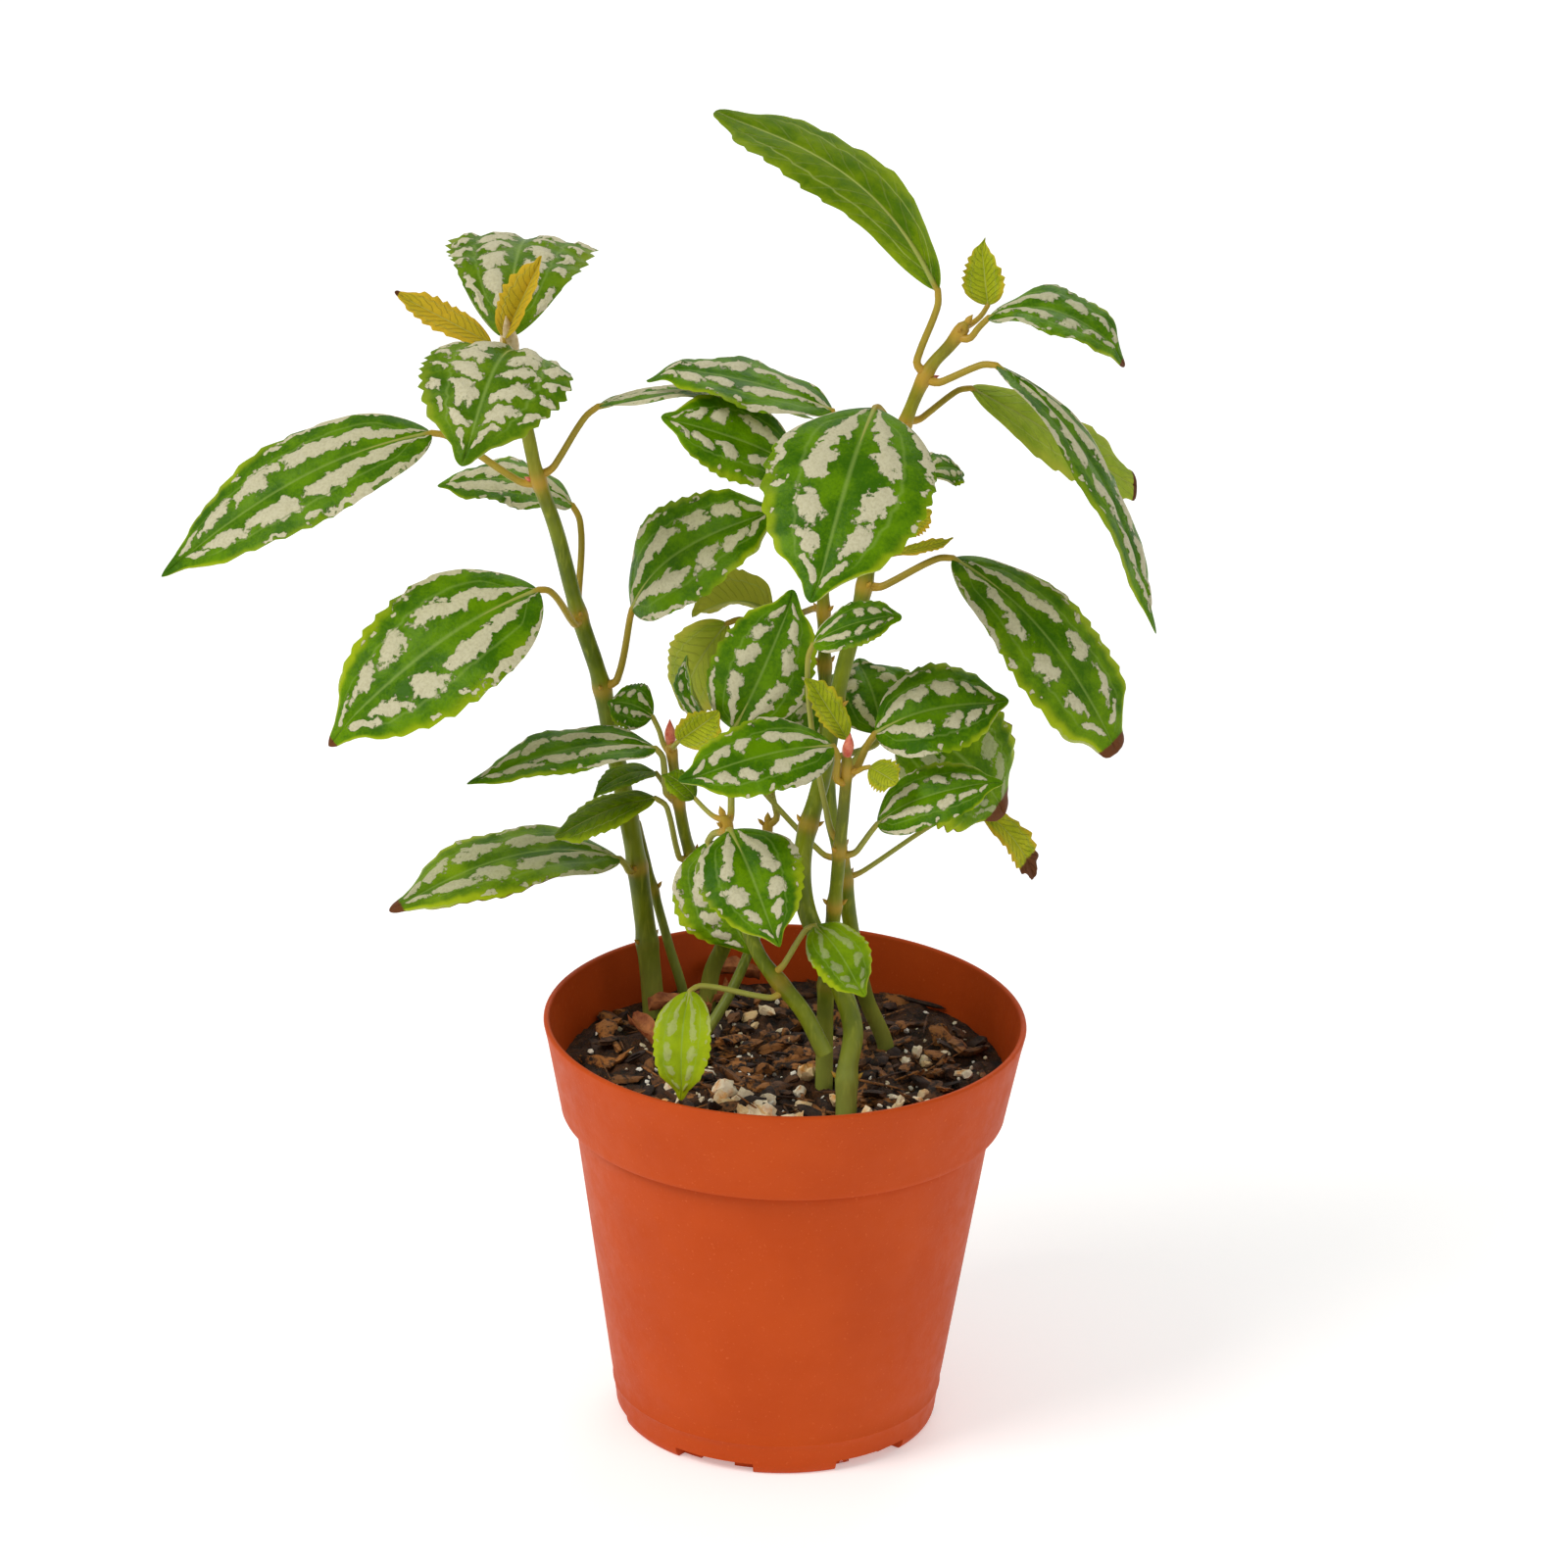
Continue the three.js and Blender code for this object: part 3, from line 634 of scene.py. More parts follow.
# leaves by stem: the height of the joint, where the blade starts and ends, width, where it is
# widest, how far it arches, which way it faces, how far it folds, and its kind
LEAVES = {
    "left": {
        "left_crown_back": (160, (-64, 8, 167), (-61, 51, 176), 33, 0.7, 9, (0, -0.4, 1), 8, "striped"),
        "left_crown_front": (158, (-60, 1, 165), (-71, -34, 152), 33, 0.45, 11, (0, -0.4, 1), 3, "striped"),
        "left_crown_yellow": (163, (-67, 4, 167), (-88, 4, 178), 8, 0.5, 0, (0, -0.7, 0.7), 25, "young"),
        "left_crown_upright": (164, (-64, 2, 169), (-56, 4, 187), 12, 0.45, 0, (-0.6, -0.8, 0), 50, "young"),
        "left_long": (133, (-80, 8, 145), (-138, -5, 115), 27, 0.42, 7, (-0.1, -0.5, 0.9), 10, "striped"),
        "left_arching": (135, (-44, 11, 151), (3, 21, 146), 22, 0.45, 4, (0, 0.2, 1), 12, "striped"),
        "left_behind": (102, (-50, 31, 121), (-80, 31, 125), 22, 0.45, 4, (0, -0.15, 1), 10, "striped"),
        "left_broad": (99, (-56, -2, 113), (-101, -20, 83), 33, 0.43, 7, (-0.3, -0.7, 0.6), 8, "striped"),
        "left_inner": (82, (-36, 14, 103), (-3, 10, 129), 27, 0.45, 8, (-0.3, -0.6, 0.7), 12, "striped"),
        "left_lowest": (37, (-38, 20, 41), (-89, 5, 33), 28, 0.48, 7, (-0.1, -0.15, 1), 10, "striped"),
    },
    "red_bud": {
        "bud_small": (72, (-31, 11, 79), (-41, 13, 81.5), 13, 0.45, 2, (-0.2, -0.5, 0.8), 10, "striped"),
        "bud_long": (62, (-30, 2, 75), (-71, -8, 69), 21, 0.42, 4, (0, -0.1, 1), 12, "striped"),
        "bud_yellow": (74, (-25, -1, 78), (-16, -3, 86), 11, 0.5, 0, (0.4, -0.9, 0.3), 35, "young"),
        "bud_edge": (59, (-30, 10, 66), (-44, 5, 62), 12, 0.45, 2, (0, 0, 1), 15, "plain"),
        "bud_plain": (45, (-30, 5, 62), (-52, 2, 53), 15, 0.55, 1.5, (0, -0.15, 1), 10, "plain"),
    },
    "front": {
        "front_heart": (61, (-13, -20, 65), (-2, -38, 45), 24, 0.4, 4, (0.1, -0.8, 0.5), 8, "striped"),
        "front_side": (61, (-18, -5, 56), (-8, -12, 32), 25, 0.45, 3, (-0.4, -0.7, 0.5), 10, "striped"),
        "front_small": (64, (-21, -7, 67), (-28, -5, 72), 8, 0.45, 1, (0, -0.4, 0.9), 12, "plain"),
        "centre_upright": (63, (-13, 2, 80), (0, -1, 114), 23, 0.45, 4, (0.1, -0.9, 0.2), 8, "striped"),
        "low_left": (28, (-21, -28, 30), (-22, -40, 9), 14, 0.45, 3, (-0.3, -0.8, 0.5), 15, "striped"),
        "low_right": (31, (6, -25, 45), (17, -34, 32), 14, 0.45, 3, (0.3, -0.8, 0.5), 10, "striped"),
    },
    "back": {
        "back_dark": (53, (-4, 13, 63), (7, 13, 88), 18, 0.5, 3, (0.5, -0.6, 0.4), 10, "striped"),
    },
    "tall_right": {
        "tall_top": (161, (29, 9, 180), (-20, 1, 221), 25, 0.55, 9, (0.45, 0.75, 0.5), 8, "plain"),
        "tall_yellow": (172, (40, 12, 176), (38, 13, 191), 11, 0.35, 0, (-0.3, -0.9, 0), 30, "young"),
        "tall_crown": (170, (40, 6, 175), (70, 0, 169), 21, 0.5, 6, (0.1, -0.2, 1), 15, "striped"),
        "tall_arching": (160, (42, 4, 165), (78, -15, 111), 26, 0.45, 7, (0.75, -0.1, 0.6), 10, "striped"),
        "tall_behind": (151, (37, 15, 156), (75, 31, 128), 20, 0.7, 1, (0.5, -0.4, 0.7), 8, "plain"),
        "tall_scrap": (137, (28, 17, 136), (36, 23, 134), 11, 0.5, 1, (0, -0.5, 0.9), 10, "striped"),
        "tall_front": (148, (16, -9, 159), (4, -50, 129), 37, 0.43, 6, (0, -0.5, 0.9), 5, "striped"),
        "tall_hanging": (114, (34, 0, 122), (71, -14, 83), 27, 0.6, 7, (0.5, -0.6, 0.6), 8, "striped"),
        "tall_thin": (121, (22, 2, 122), (34, 0, 126), 4, 0.5, 0, (0, -0.5, 0.9), 20, "young"),
        "tall_bit": (124, (22, 7, 125), (29, 6, 131), 7, 0.5, 0, (0.3, -0.8, 0.5), 20, "young"),
    },
    "short_right": {
        "centre_right": (60, (4, -13, 106), (23, -17, 115), 13, 0.5, 2, (0, -0.5, 0.9), 10, "striped"),
        "short_front": (76, (9, -22, 86), (-24, -36, 82), 20, 0.45, 3, (-0.1, -0.6, 0.8), 10, "striped"),
        "short_yellow": (80, (12, -15, 85), (3, -14, 99), 8, 0.5, 0, (0.5, -0.8, 0.3), 25, "young"),
        "short_tiny": (79, (17, -21, 81), (23, -25, 79), 8, 0.55, 0, (0.2, -0.9, 0.4), 15, "young"),
        "short_upper": (77, (18, -14, 86), (47, -14, 94), 25, 0.45, 4, (0, -0.5, 0.8), 12, "striped"),
        "short_lower": (57, (19, -17, 66), (46, -22, 79), 16, 0.45, 4, (0, -0.6, 0.8), 12, "striped"),
    },
    "slim_right": {
        "centre_drooping": (94, (-15, 23, 97), (-25, 29, 74), 18, 0.5, 3, (-0.3, -0.7, 0.5), 10, "plain"),
        "centre_edge": (50, (-19, 9, 79), (-24, 13, 93), 13, 0.45, 1, (-0.8, -0.2, 0.3), 30, "striped"),
        "centre_arched": (106, (-5, 24, 99), (-23, 25, 98), 20, 0.5, 4, (0, 0.8, 0.6), 35, "plain"),
        "slim_behind": (72, (20, 17, 74), (14, 32, 86), 22, 0.45, 3, (0.2, -0.8, 0.5), 10, "striped"),
        "slim_large": (68, (24, 11, 80), (48, 9, 59), 34, 0.5, 5, (0.4, -0.7, 0.6), 6, "plain"),
        "slim_withered": (45, (42, 15, 57), (55, 13, 42), 9, 0.6, 3, (0.6, -0.6, 0.3), 25, "young"),
        "slim_top": (145, (7, 6, 153), (-33, 10, 161), 24, 0.45, 2, (0, -0.1, 1), 10, "striped"),
        "slim_second": (139, (0, 2, 141), (-30, -4, 154), 24, 0.45, 2, (0, -0.5, 0.8), 12, "striped"),
    },
}
print(len(STEMS), "stems and", sum(map(len, LEAVES.values())), "leaves; mix surface at", SOIL_TOP, "mm")

# %% [markdown]
# ## Curves
# A stem is a smooth line through its listed places. A centripetal Catmull-Rom curve goes through
# every one of them and doesn't loop where two are close. It is sampled finely once, and then
# anything on the stem is found by its share of the length.

# %% Smooth lines
STEPS_BETWEEN = 24


def smooth_line(points):
    """Places along a centripetal Catmull-Rom curve."""
    line = []
    for k in range(len(points) - 1):
        b, c = points[k], points[k + 1]
        a = points[k - 1] if k else b * 2 - c
        d = points[k + 2] if k + 2 < len(points) else c * 2 - b
        first, middle, last = ((q - p).length ** 0.5 for p, q in ((a, b), (b, c), (c, d)))
        leave = ((b - a) / first - (c - a) / (first + middle) + (c - b) / middle) * middle
        arrive = ((c - b) / middle - (d - b) / (middle + last) + (d - c) / last) * middle
        for step in range(STEPS_BETWEEN):
            t = step / STEPS_BETWEEN
            line.append(b + leave * t + ((c - b) * 3 - leave * 2 - arrive) * t ** 2
                        + ((b - c) * 2 + leave + arrive) * t ** 3)
    return line + [points[-1]]


def measured(line):
    """The distance from the start to each place on a line."""
    run = [0.0]
    for p, q in zip(line, line[1:]):
        run.append(run[-1] + (q - p).length)
    return run


def respaced(line, step):
    """The same line with evenly spaced places."""
    run = measured(line)
    count = max(3, round(run[-1] / step))
    places, k = [], 0
    for n in range(count + 1):
        wanted = run[-1] * n / count
        while k < len(run) - 2 and run[k + 1] < wanted:
            k += 1
        share = (wanted - run[k]) / (run[k + 1] - run[k])
        places.append(line[k].lerp(line[k + 1], min(1.0, share)))
    return places


def directions(line):
    """Which way a line goes at each of its places."""
    ends = [line[0]] + line + [line[-1]]
    return [(q - p).normalized() for p, q in zip(ends, ends[2:])]


def off(vector, direction):
    """The part of a vector that is square to a direction, one long."""
    return (vector - direction * vector.dot(direction)).normalized()


def stem_places(name):
    rooted, _, _, rows = STEMS[name]
    places = [grown(row) for row in rows]
    if rooted:
        places.insert(0, Vector((places[0].x, places[0].y, SOIL_TOP - ROOT_DEPTH)))
    return smooth_line(places)


def joint_on(name, height):
    """The middle of a stem at a height, its direction and its radius there."""
    line = stem_places(name)
    run = measured(line)
    k = next((k for k, p in enumerate(line) if p.z >= SOIL_TOP + height), len(line) - 1)
    k = max(1, min(k, len(line) - 2))
    _, foot, top, _ = STEMS[name]
    return line[k], (line[k + 1] - line[k - 1]).normalized(), between(foot, top, run[k] / run[-1])


for name in STEMS:
    print(f"{name} stem is {measured(stem_places(name))[-1]:.0f} mm long")

# %% [markdown]
# ## Building meshes
# All the living pieces are built point by point, because their shape follows formulas. `Shape`
# gathers points in millimetres with their own numbers (how blushed, how brown), and turns them
# into one object in metres. Each object hides the CAD node it stands for and rides on a body.
# The plant has no joints, so all of it rides on one body.

# %% Shapes
NEARLY_PARALLEL = 0.98
FIRST_SIDE = Vector((0.0, 0.3, 1.0))


class Shape:
    def __init__(self):
        self.points, self.faces, self.looks, self.spread = [], [], [], []
        self.numbers = {}

    def point(self, place, spread=(0.0, 0.5), **numbers):
        self.points.append(place)
        self.spread.append(spread)
        for name, value in numbers.items():
            self.numbers.setdefault(name, {})[len(self.points) - 1] = value
        return len(self.points) - 1

    def face(self, corners, look=0):
        self.faces.append(corners)
        self.looks.append(look)

    def tube(self, line, radii, sides, look, numbers):
        """A round closed bar along a line, with one radius and one set of numbers to a place."""
        rings, out = [], FIRST_SIDE
        for k, (middle, along) in enumerate(zip(line, directions(line))):
            out = off(out if abs(along.dot(out)) < NEARLY_PARALLEL else Vector((1, 0, 0)), along)
            side = along.cross(out)
            ring = []
            for n in range(sides):
                angle = 2 * math.pi * n / sides
                place = middle + (out * math.cos(angle) + side * math.sin(angle)) * radii[k]
                ring.append(self.point(place, **numbers[k]))
            rings.append(ring)
        for low, high in zip(rings, rings[1:]):
            for n in range(sides):
                m = (n + 1) % sides
                self.face((low[n], low[m], high[m], high[n]), look)
        self.face(tuple(reversed(rings[0])), look)
        self.face(tuple(rings[-1]), look)

    def build(self, name, finishes, slot, node=None, sharp=60.0):
        mesh = bpy.data.meshes.new(name)
        mesh.from_pydata([p * MM for p in self.points], [], self.faces)
        for finish in finishes:
            mesh.materials.append(finish)
        mesh.polygons.foreach_set("material_index", self.looks)
        layer = mesh.uv_layers.new(name="blade")
        for loop in mesh.loops:
            layer.data[loop.index].uv = self.spread[loop.vertex_index]
        for number, values in self.numbers.items():
            attribute = mesh.attributes.new(number, "FLOAT", "POINT")
            attribute.data.foreach_set("value", [values.get(k, 0.0) for k in range(len(self.points))])
        mesh.shade_smooth()
        mesh.set_sharp_from_angle(angle=math.radians(sharp))
        piece = bpy.data.objects.new(name, mesh)
        bpy.context.scene.collection.objects.link(piece)
        settle(piece, node)


def settle(piece, node=None):
    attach(piece, "root")
    if node:
        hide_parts(node)


print("a shape can make:", [name for name in vars(Shape) if not name.startswith("_")])

# %% [markdown]
# ## The pot
# A moulded pot is a surface of revolution, so its outline is turned about the axis with many
# steps. The outline has what a mould leaves: a rounded lip, a collar that flares and overhangs a
# shallow groove, a faint parting line low on the body, a foot ring, and a pad under the base.

# %% Outline of the pot
POT_STEPS = 180
SEAM = 8.0
PAD_RADIUS = 6.0
CORNER_STEPS = 15


def arc(middle, radius, start, end, count):
    """Places on an arc in the outline, from one angle in degrees to another."""
    for k in range(count + 1):
        angle = math.radians(between(start, end, k / count))
        yield (middle[0] + radius * math.cos(angle), middle[1] + radius * math.sin(angle))


def pot_outline():
    foot_inside = BASE - 2 * WALL - CORNER / 2
    corner_x = body_outside(CORNER) - 0.5 * CORNER
    quarter = [math.radians(90 / CORNER_STEPS * k) for k in range(CORNER_STEPS + 1)]
    rounded = [(corner_x + 0.5 * CORNER * math.sin(a), CORNER * (1 - math.cos(a))) for a in quarter]
    body = [(body_outside(z), z) for z in (4.5, 6.0, SEAM - 0.5)]
    parting = [(body_outside(SEAM) + 0.12, SEAM - 0.3), (body_outside(SEAM) + 0.12, SEAM + 0.1),
               (body_outside(SEAM) - 0.02, SEAM + 0.45)]
    upper = [(body_outside(z), z) for z in (12, 20, 30, 40, 50, 58, 64, 69, 71)]
    neck = body_outside(COLLAR_LOW)
    cove = [(neck - 0.12, COLLAR_LOW - 0.8), (neck - 0.25, COLLAR_LOW), (neck - 0.4, COLLAR_LOW + 0.7),
            (neck - 0.2, COLLAR_LOW + 1.15), (neck + 0.5, COLLAR_LOW + 1.25), (neck + 1.5, COLLAR_LOW + 1.05),
            (COLLAR_RADIUS - 0.4, COLLAR_LOW + 1.0), (COLLAR_RADIUS + 0.1, COLLAR_LOW + 1.2),
            (COLLAR_RADIUS + 0.35, COLLAR_LOW + 1.7), (COLLAR_RADIUS + 0.5, COLLAR_LOW + 2.6)]
    band = [(collar_outside(z), z) for z in (COLLAR_LOW + 4, COLLAR_LOW + 8, COLLAR_LOW + 14, POT_HEIGHT - 4)]
    lip = list(arc((RIM - LIP, POT_HEIGHT - LIP), LIP, 0, 180, 10))
    inside = [(collar_outside(z) - WALL, z) for z in (POT_HEIGHT - 3, POT_HEIGHT - 10, COLLAR_LOW + 5.6)]
    inner = [(body_outside(z) - WALL, z) for z in (COLLAR_LOW + 1.6, 50, 25, FOOT + PLATE)]
    pad = [(PAD_RADIUS, 0.0), (PAD_RADIUS, FOOT)]
    ring = [(foot_inside, FOOT), (foot_inside, 0.3), (foot_inside + 0.3, 0.0)]
    return pad + ring + rounded + body + parting + upper + cove + band + lip + inside + inner


print("the pot's outline has", len(pot_outline()), "places")

# %% [markdown]
# Turning an outline joins the same place of the outline at every step round the axis. The drain
# arches and holes interrupt the turned surface, so they are cut out afterwards with Boolean
# modifiers. The modifiers are applied at once, and the cutters don't stay in the scene.

# %% Turning and cutting
BLOCK_STEPS = 8


def turned(outline, steps):
    """A closed mesh from an outline, in mm. Both its ends are joined to the axis."""
    shape = Shape()
    start = shape.point(Vector((0, 0, outline[0][1])))
    rows = [[shape.point(Vector((r * math.cos(a), r * math.sin(a), z)))
             for a in (2 * math.pi * n / steps for n in range(steps))] for r, z in outline]
    end = shape.point(Vector((0, 0, outline[-1][1])))
    for n in range(steps):
        m = (n + 1) % steps
        shape.face((start, rows[0][m], rows[0][n]))
        shape.face((end, rows[-1][n], rows[-1][m]))
        for low, high in zip(rows, rows[1:]):
            shape.face((low[n], low[m], high[m], high[n]))
    return shape


def ring_block(inner, outer, low, high, middle, spread):
    """A closed block of a ring, spread degrees wide."""
    shape = Shape()
    columns = []
    for k in range(BLOCK_STEPS + 1):
        angle = math.radians(middle - spread / 2 + spread * k / BLOCK_STEPS)
        ray = Vector((math.cos(angle), math.sin(angle), 0))
        columns.append([shape.point(ray * r + Vector((0, 0, z)))
                        for r, z in ((inner, low), (outer, low), (outer, high), (inner, high))])
    for left, right in zip(columns, columns[1:]):
        for n in range(4):
            m = (n + 1) % 4
            shape.face((left[n], right[n], right[m], left[m]))
    shape.face(tuple(columns[0]))
    shape.face(tuple(reversed(columns[-1])))
    return shape


def plain_object(name, shape):
    mesh = bpy.data.meshes.new(name)
    mesh.from_pydata([p * MM for p in shape.points], [], shape.faces)
    made = bmesh.new()
    made.from_mesh(mesh)
    bmesh.ops.recalc_face_normals(made, faces=made.faces)
    made.to_mesh(mesh)
    made.free()
    piece = bpy.data.objects.new(name, mesh)
    bpy.context.scene.collection.objects.link(piece)
    return piece


def cut_away(piece, cutters):
    """Takes the cutters out of a piece for good, and throws them away."""
    for cutter in cutters:
        step = piece.modifiers.new("cut", "BOOLEAN")
        step.operation, step.solver, step.object = "DIFFERENCE", "EXACT", cutter
    shown = piece.evaluated_get(bpy.context.evaluated_depsgraph_get())
    mesh = bpy.data.meshes.new_from_object(shown)
    piece.modifiers.clear()
    piece.data = mesh
    for cutter in cutters:
        bpy.data.objects.remove(cutter)


print("helpers:", [made.__name__ for made in (turned, ring_block, plain_object, cut_away)])

# %% [markdown]
# Six arches let water out under the foot. Behind each one is a recess, and a narrower mouth goes
# right through to the drain hole in the base.

# %% Cut the arches and holes
ARCHES, FIRST_ARCH = 6, -112.5
ARCH_SPREAD, MOUTH_SPREAD, MOUTH_START = 30, 14, 12
BELOW, ARCH_TOP, BEYOND = -1, 0.85 * FOOT, BASE + 3
HOLE_RADIUS, HOLE_REACH, HOLE_STEPS = 4.0, 6.0, 32

pot = plain_object("grower_pot", turned(pot_outline(), POT_STEPS))
recess = BASE - WALL - CORNER / 2
hole_middle = (recess + PAD_RADIUS) / 2 + 2.0
cutters = []
for k in range(ARCHES):
    middle = FIRST_ARCH + 360 / ARCHES * k
    for name, inner, spread in (("arch", recess, ARCH_SPREAD), ("mouth", MOUTH_START, MOUTH_SPREAD)):
        cutters.append(plain_object(name, ring_block(inner, BEYOND, BELOW, ARCH_TOP, middle, spread)))
    hole = turned([(HOLE_RADIUS, -HOLE_REACH), (HOLE_RADIUS, HOLE_REACH)], HOLE_STEPS)
    toward = math.radians(middle)
    shift = Vector((hole_middle * math.cos(toward), hole_middle * math.sin(toward), FOOT))
    hole.points = [p + shift for p in hole.points]
    cutters.append(plain_object("hole", hole))
cut_away(pot, cutters)
pot.data.materials.clear()
pot.data.materials.append(plastic)
pot.data.shade_smooth()
pot.data.set_sharp_from_angle(angle=math.radians(38))
settle(pot, "pot")
print("pot:", len(pot.data.polygons), "faces; arches cut:", ARCHES)

# %% [markdown]
# ## The mix
# The mix is a plug that fills the pot. Its top is a polar grid pushed up and down by layered
# noise: broad mounds, lumps as big as a bark chip, and crumbs. It sinks a little where it meets
# the pot. Its sides and bottom are closed, because the whole plug is one solid in the CAD.

# %% Surface of the mix
MIX_RINGS, MIX_STEPS = 62, 180


def mix_height(x, y):
    """How high the mix is at a place, in mm above the frame's floor."""
    mound = math.sin(x / 7) * math.cos(y / 9) * 1.0
    lump = noise.noise(Vector((x * 0.16, y * 0.16, 3.1))) * 1.8
    crumb = noise.noise(Vector((x * 0.5, y * 0.5, 7.7))) * 1.4
    grain = noise.noise(Vector((x * 1.3, y * 1.3, 1.9))) * 0.6
    edge = smooth(0.86, 1.0, math.hypot(x, y) / SOIL_RADIUS)
    return SOIL_TOP + (mound + lump + crumb + grain) * (1 - 0.6 * edge) - 1.2 * edge


mix = Shape()
outline = [(body_outside(z) - WALL - SOIL_GAP, z) for z in (SOIL_LOW, 40, COLLAR_LOW + 1.6)]
outline.append((collar_outside(COLLAR_LOW + 5.8) - WALL - SOIL_GAP, COLLAR_LOW + 5.8))
angles = [2 * math.pi * n / MIX_STEPS for n in range(MIX_STEPS)]
rows = [[mix.point(Vector((r * math.cos(a), r * math.sin(a), z))) for a in angles] for r, z in outline]
for ring in range(MIX_RINGS, 0, -1):
    r = SOIL_RADIUS * ring / MIX_RINGS
    flat = [(r * math.cos(a), r * math.sin(a)) for a in angles]
    rows.append([mix.point(Vector((x, y, mix_height(x, y)))) for x, y in flat])
bottom = mix.point(Vector((0, 0, SOIL_LOW)))
crown = mix.point(Vector((0, 0, mix_height(0, 0))))
for n in range(MIX_STEPS):
    m = (n + 1) % MIX_STEPS
    mix.face((bottom, rows[0][m], rows[0][n]))
    mix.face((crown, rows[-1][n], rows[-1][m]))
    for low, high in zip(rows, rows[1:]):
        mix.face((low[n], low[m], high[m], high[n]))
mix.build("mix_surface", [peat], "potting_mix", "potting_mix")
print("mix from", SOIL_LOW, "to", round(max(p.z for p in mix.points), 1), "mm")

# %% [markdown]
# ## Loose pieces on the mix
# Every chip starts as a rough ball of triangles that noise pushes in and out. It is then squeezed
# into a flake, a pebble or a crumb, turned at random and half sunk. All chips of one kind share
# one mesh, which keeps the file light, and each carries a number for its tone.

# %% Chips, pumice and perlite
def ball(detail):
    made = bmesh.new()
    bmesh.ops.create_icosphere(made, subdivisions=detail, radius=1.0)
    made.verts.ensure_lookup_table()
    points = [v.co.copy() for v in made.verts]
    faces = [tuple(v.index for v in f.verts) for f in made.faces]
    made.free()
    return points, faces


BALLS = {1: ball(1), 2: ball(2)}


def add_chip(shape, dice, place, size, detail, rough, tilt):
    """Adds one rough lump. size is its three half sizes in mm. The pot's wall holds it in."""
    points, faces = BALLS[detail]
    seed = Vector((dice.uniform(0, 50), dice.uniform(0, 50), dice.uniform(0, 50)))
    turn = (Matrix.Rotation(dice.uniform(0, 2 * math.pi), 3, "Z")
            @ Matrix.Rotation(dice.gauss(0, tilt), 3, "X") @ Matrix.Rotation(dice.gauss(0, tilt), 3, "Y"))
    tone = dice.random()
    first = len(shape.points)
    for p in points:
        push = 1 + rough * noise.noise(p * 1.3 + seed) + 0.5 * rough * noise.noise(p * 3.1 + seed)
        squeezed = Vector((p.x * size[0], p.y * size[1], p.z * size[2])) * push
        at = place + turn @ squeezed
        inside = min(1.0, SOIL_RADIUS / math.hypot(at.x, at.y))
        shape.point(Vector((at.x * inside, at.y * inside, at.z)), tone=tone)
    for face in faces:
        shape.face(tuple(first + k for k in face))


def clear_of_stems(x, y, room):
    feet = [grown(rows[0]) for rooted, _, _, rows in STEMS.values() if rooted]
    return all(math.hypot(x - foot.x, y - foot.y) > room for foot in feet)


def scatter(dice, count, middle, spread, room=3.4, limit=0.955):
    """Places on the mix, gathered about a middle."""
    made = 0
    while made < count:
        x, y = dice.gauss(middle[0], spread[0]), dice.gauss(middle[1], spread[1])
        if math.hypot(x, y) < SOIL_RADIUS * limit and clear_of_stems(x, y, room):
            made += 1
            yield x, y


dice = random.Random(11)
chips = Shape()
for x, y in scatter(dice, count=330, middle=(0, -4), spread=(32, 32)):
    size = (dice.uniform(1.4, 5.5), dice.uniform(0.8, 2.4), dice.uniform(0.5, 1.2))
    add_chip(chips, dice, Vector((x, y, mix_height(x, y) + 0.5)), size, detail=2, rough=0.55, tilt=0.32)
for x, y in scatter(dice, count=60, middle=(0, -8), spread=(26, 26), limit=0.82):
    size = (dice.uniform(4.0, 9.0), dice.uniform(0.2, 0.4), dice.uniform(0.2, 0.35))
    add_chip(chips, dice, Vector((x, y, mix_height(x, y) + 1.0)), size, detail=2, rough=0.3, tilt=0.2)
chips.build("bark_chips", [bark], "potting_mix", sharp=40)

pebbles = Shape()
for middle, spread, count, largest in (((-10, -26), (13, 9), 20, 3.9), ((-6, -32), (20, 9), 34, 2.4),
                                       ((20, -12), (20, 18), 22, 2.4), ((-5, 5), (30, 25), 14, 2.0)):
    for x, y in scatter(dice, count, middle, spread):
        size = [dice.uniform(1.1, largest) * k for k in (1.0, 0.8, 0.65)]
        place = Vector((x, y, mix_height(x, y) + size[2] * 0.6))
        add_chip(pebbles, dice, place, size, detail=2, rough=0.6, tilt=0.6)
pebbles.build("pumice_pebbles", [pumice], "potting_mix", sharp=35)

crumbs = Shape()
for middle, spread, count in (((-5, -42), (24, 7), 260), ((0, -10), (30, 28), 240)):
    for x, y in scatter(dice, count, middle, spread, room=2.6, limit=0.975):
        size = [dice.uniform(0.25, 1.0) * k for k in (1.0, 0.8, 0.7)]
        place = Vector((x, y, mix_height(x, y) + size[2] * 0.7))
        add_chip(crumbs, dice, place, size, detail=1, rough=0.5, tilt=0.6)
crumbs.build("perlite_crumbs", [perlite], "potting_mix", sharp=35)
print("chips:", len(chips.faces), "pumice:", len(pebbles.faces), "perlite:", len(crumbs.faces), "faces")

# %% [markdown]
# A few dead leaves lie curled at the back of the pot. Each is a small grid, bent like a trough
# and wrinkled, with a second skin under the first so that it is closed.

# %% Dead leaf scraps
# where a scrap lies, which way it points, its length and its width
SCRAPS = ((-24, 24, 0.4, 15, 7), (-16, 34, 1.4, 13, 6), (-32, 10, 2.2, 10, 5), (-12, 44, 0.2, 12, 6))
SCRAP_ROWS, SCRAP_COLUMNS, SCRAP_THICKNESS = 12, 6, 0.3

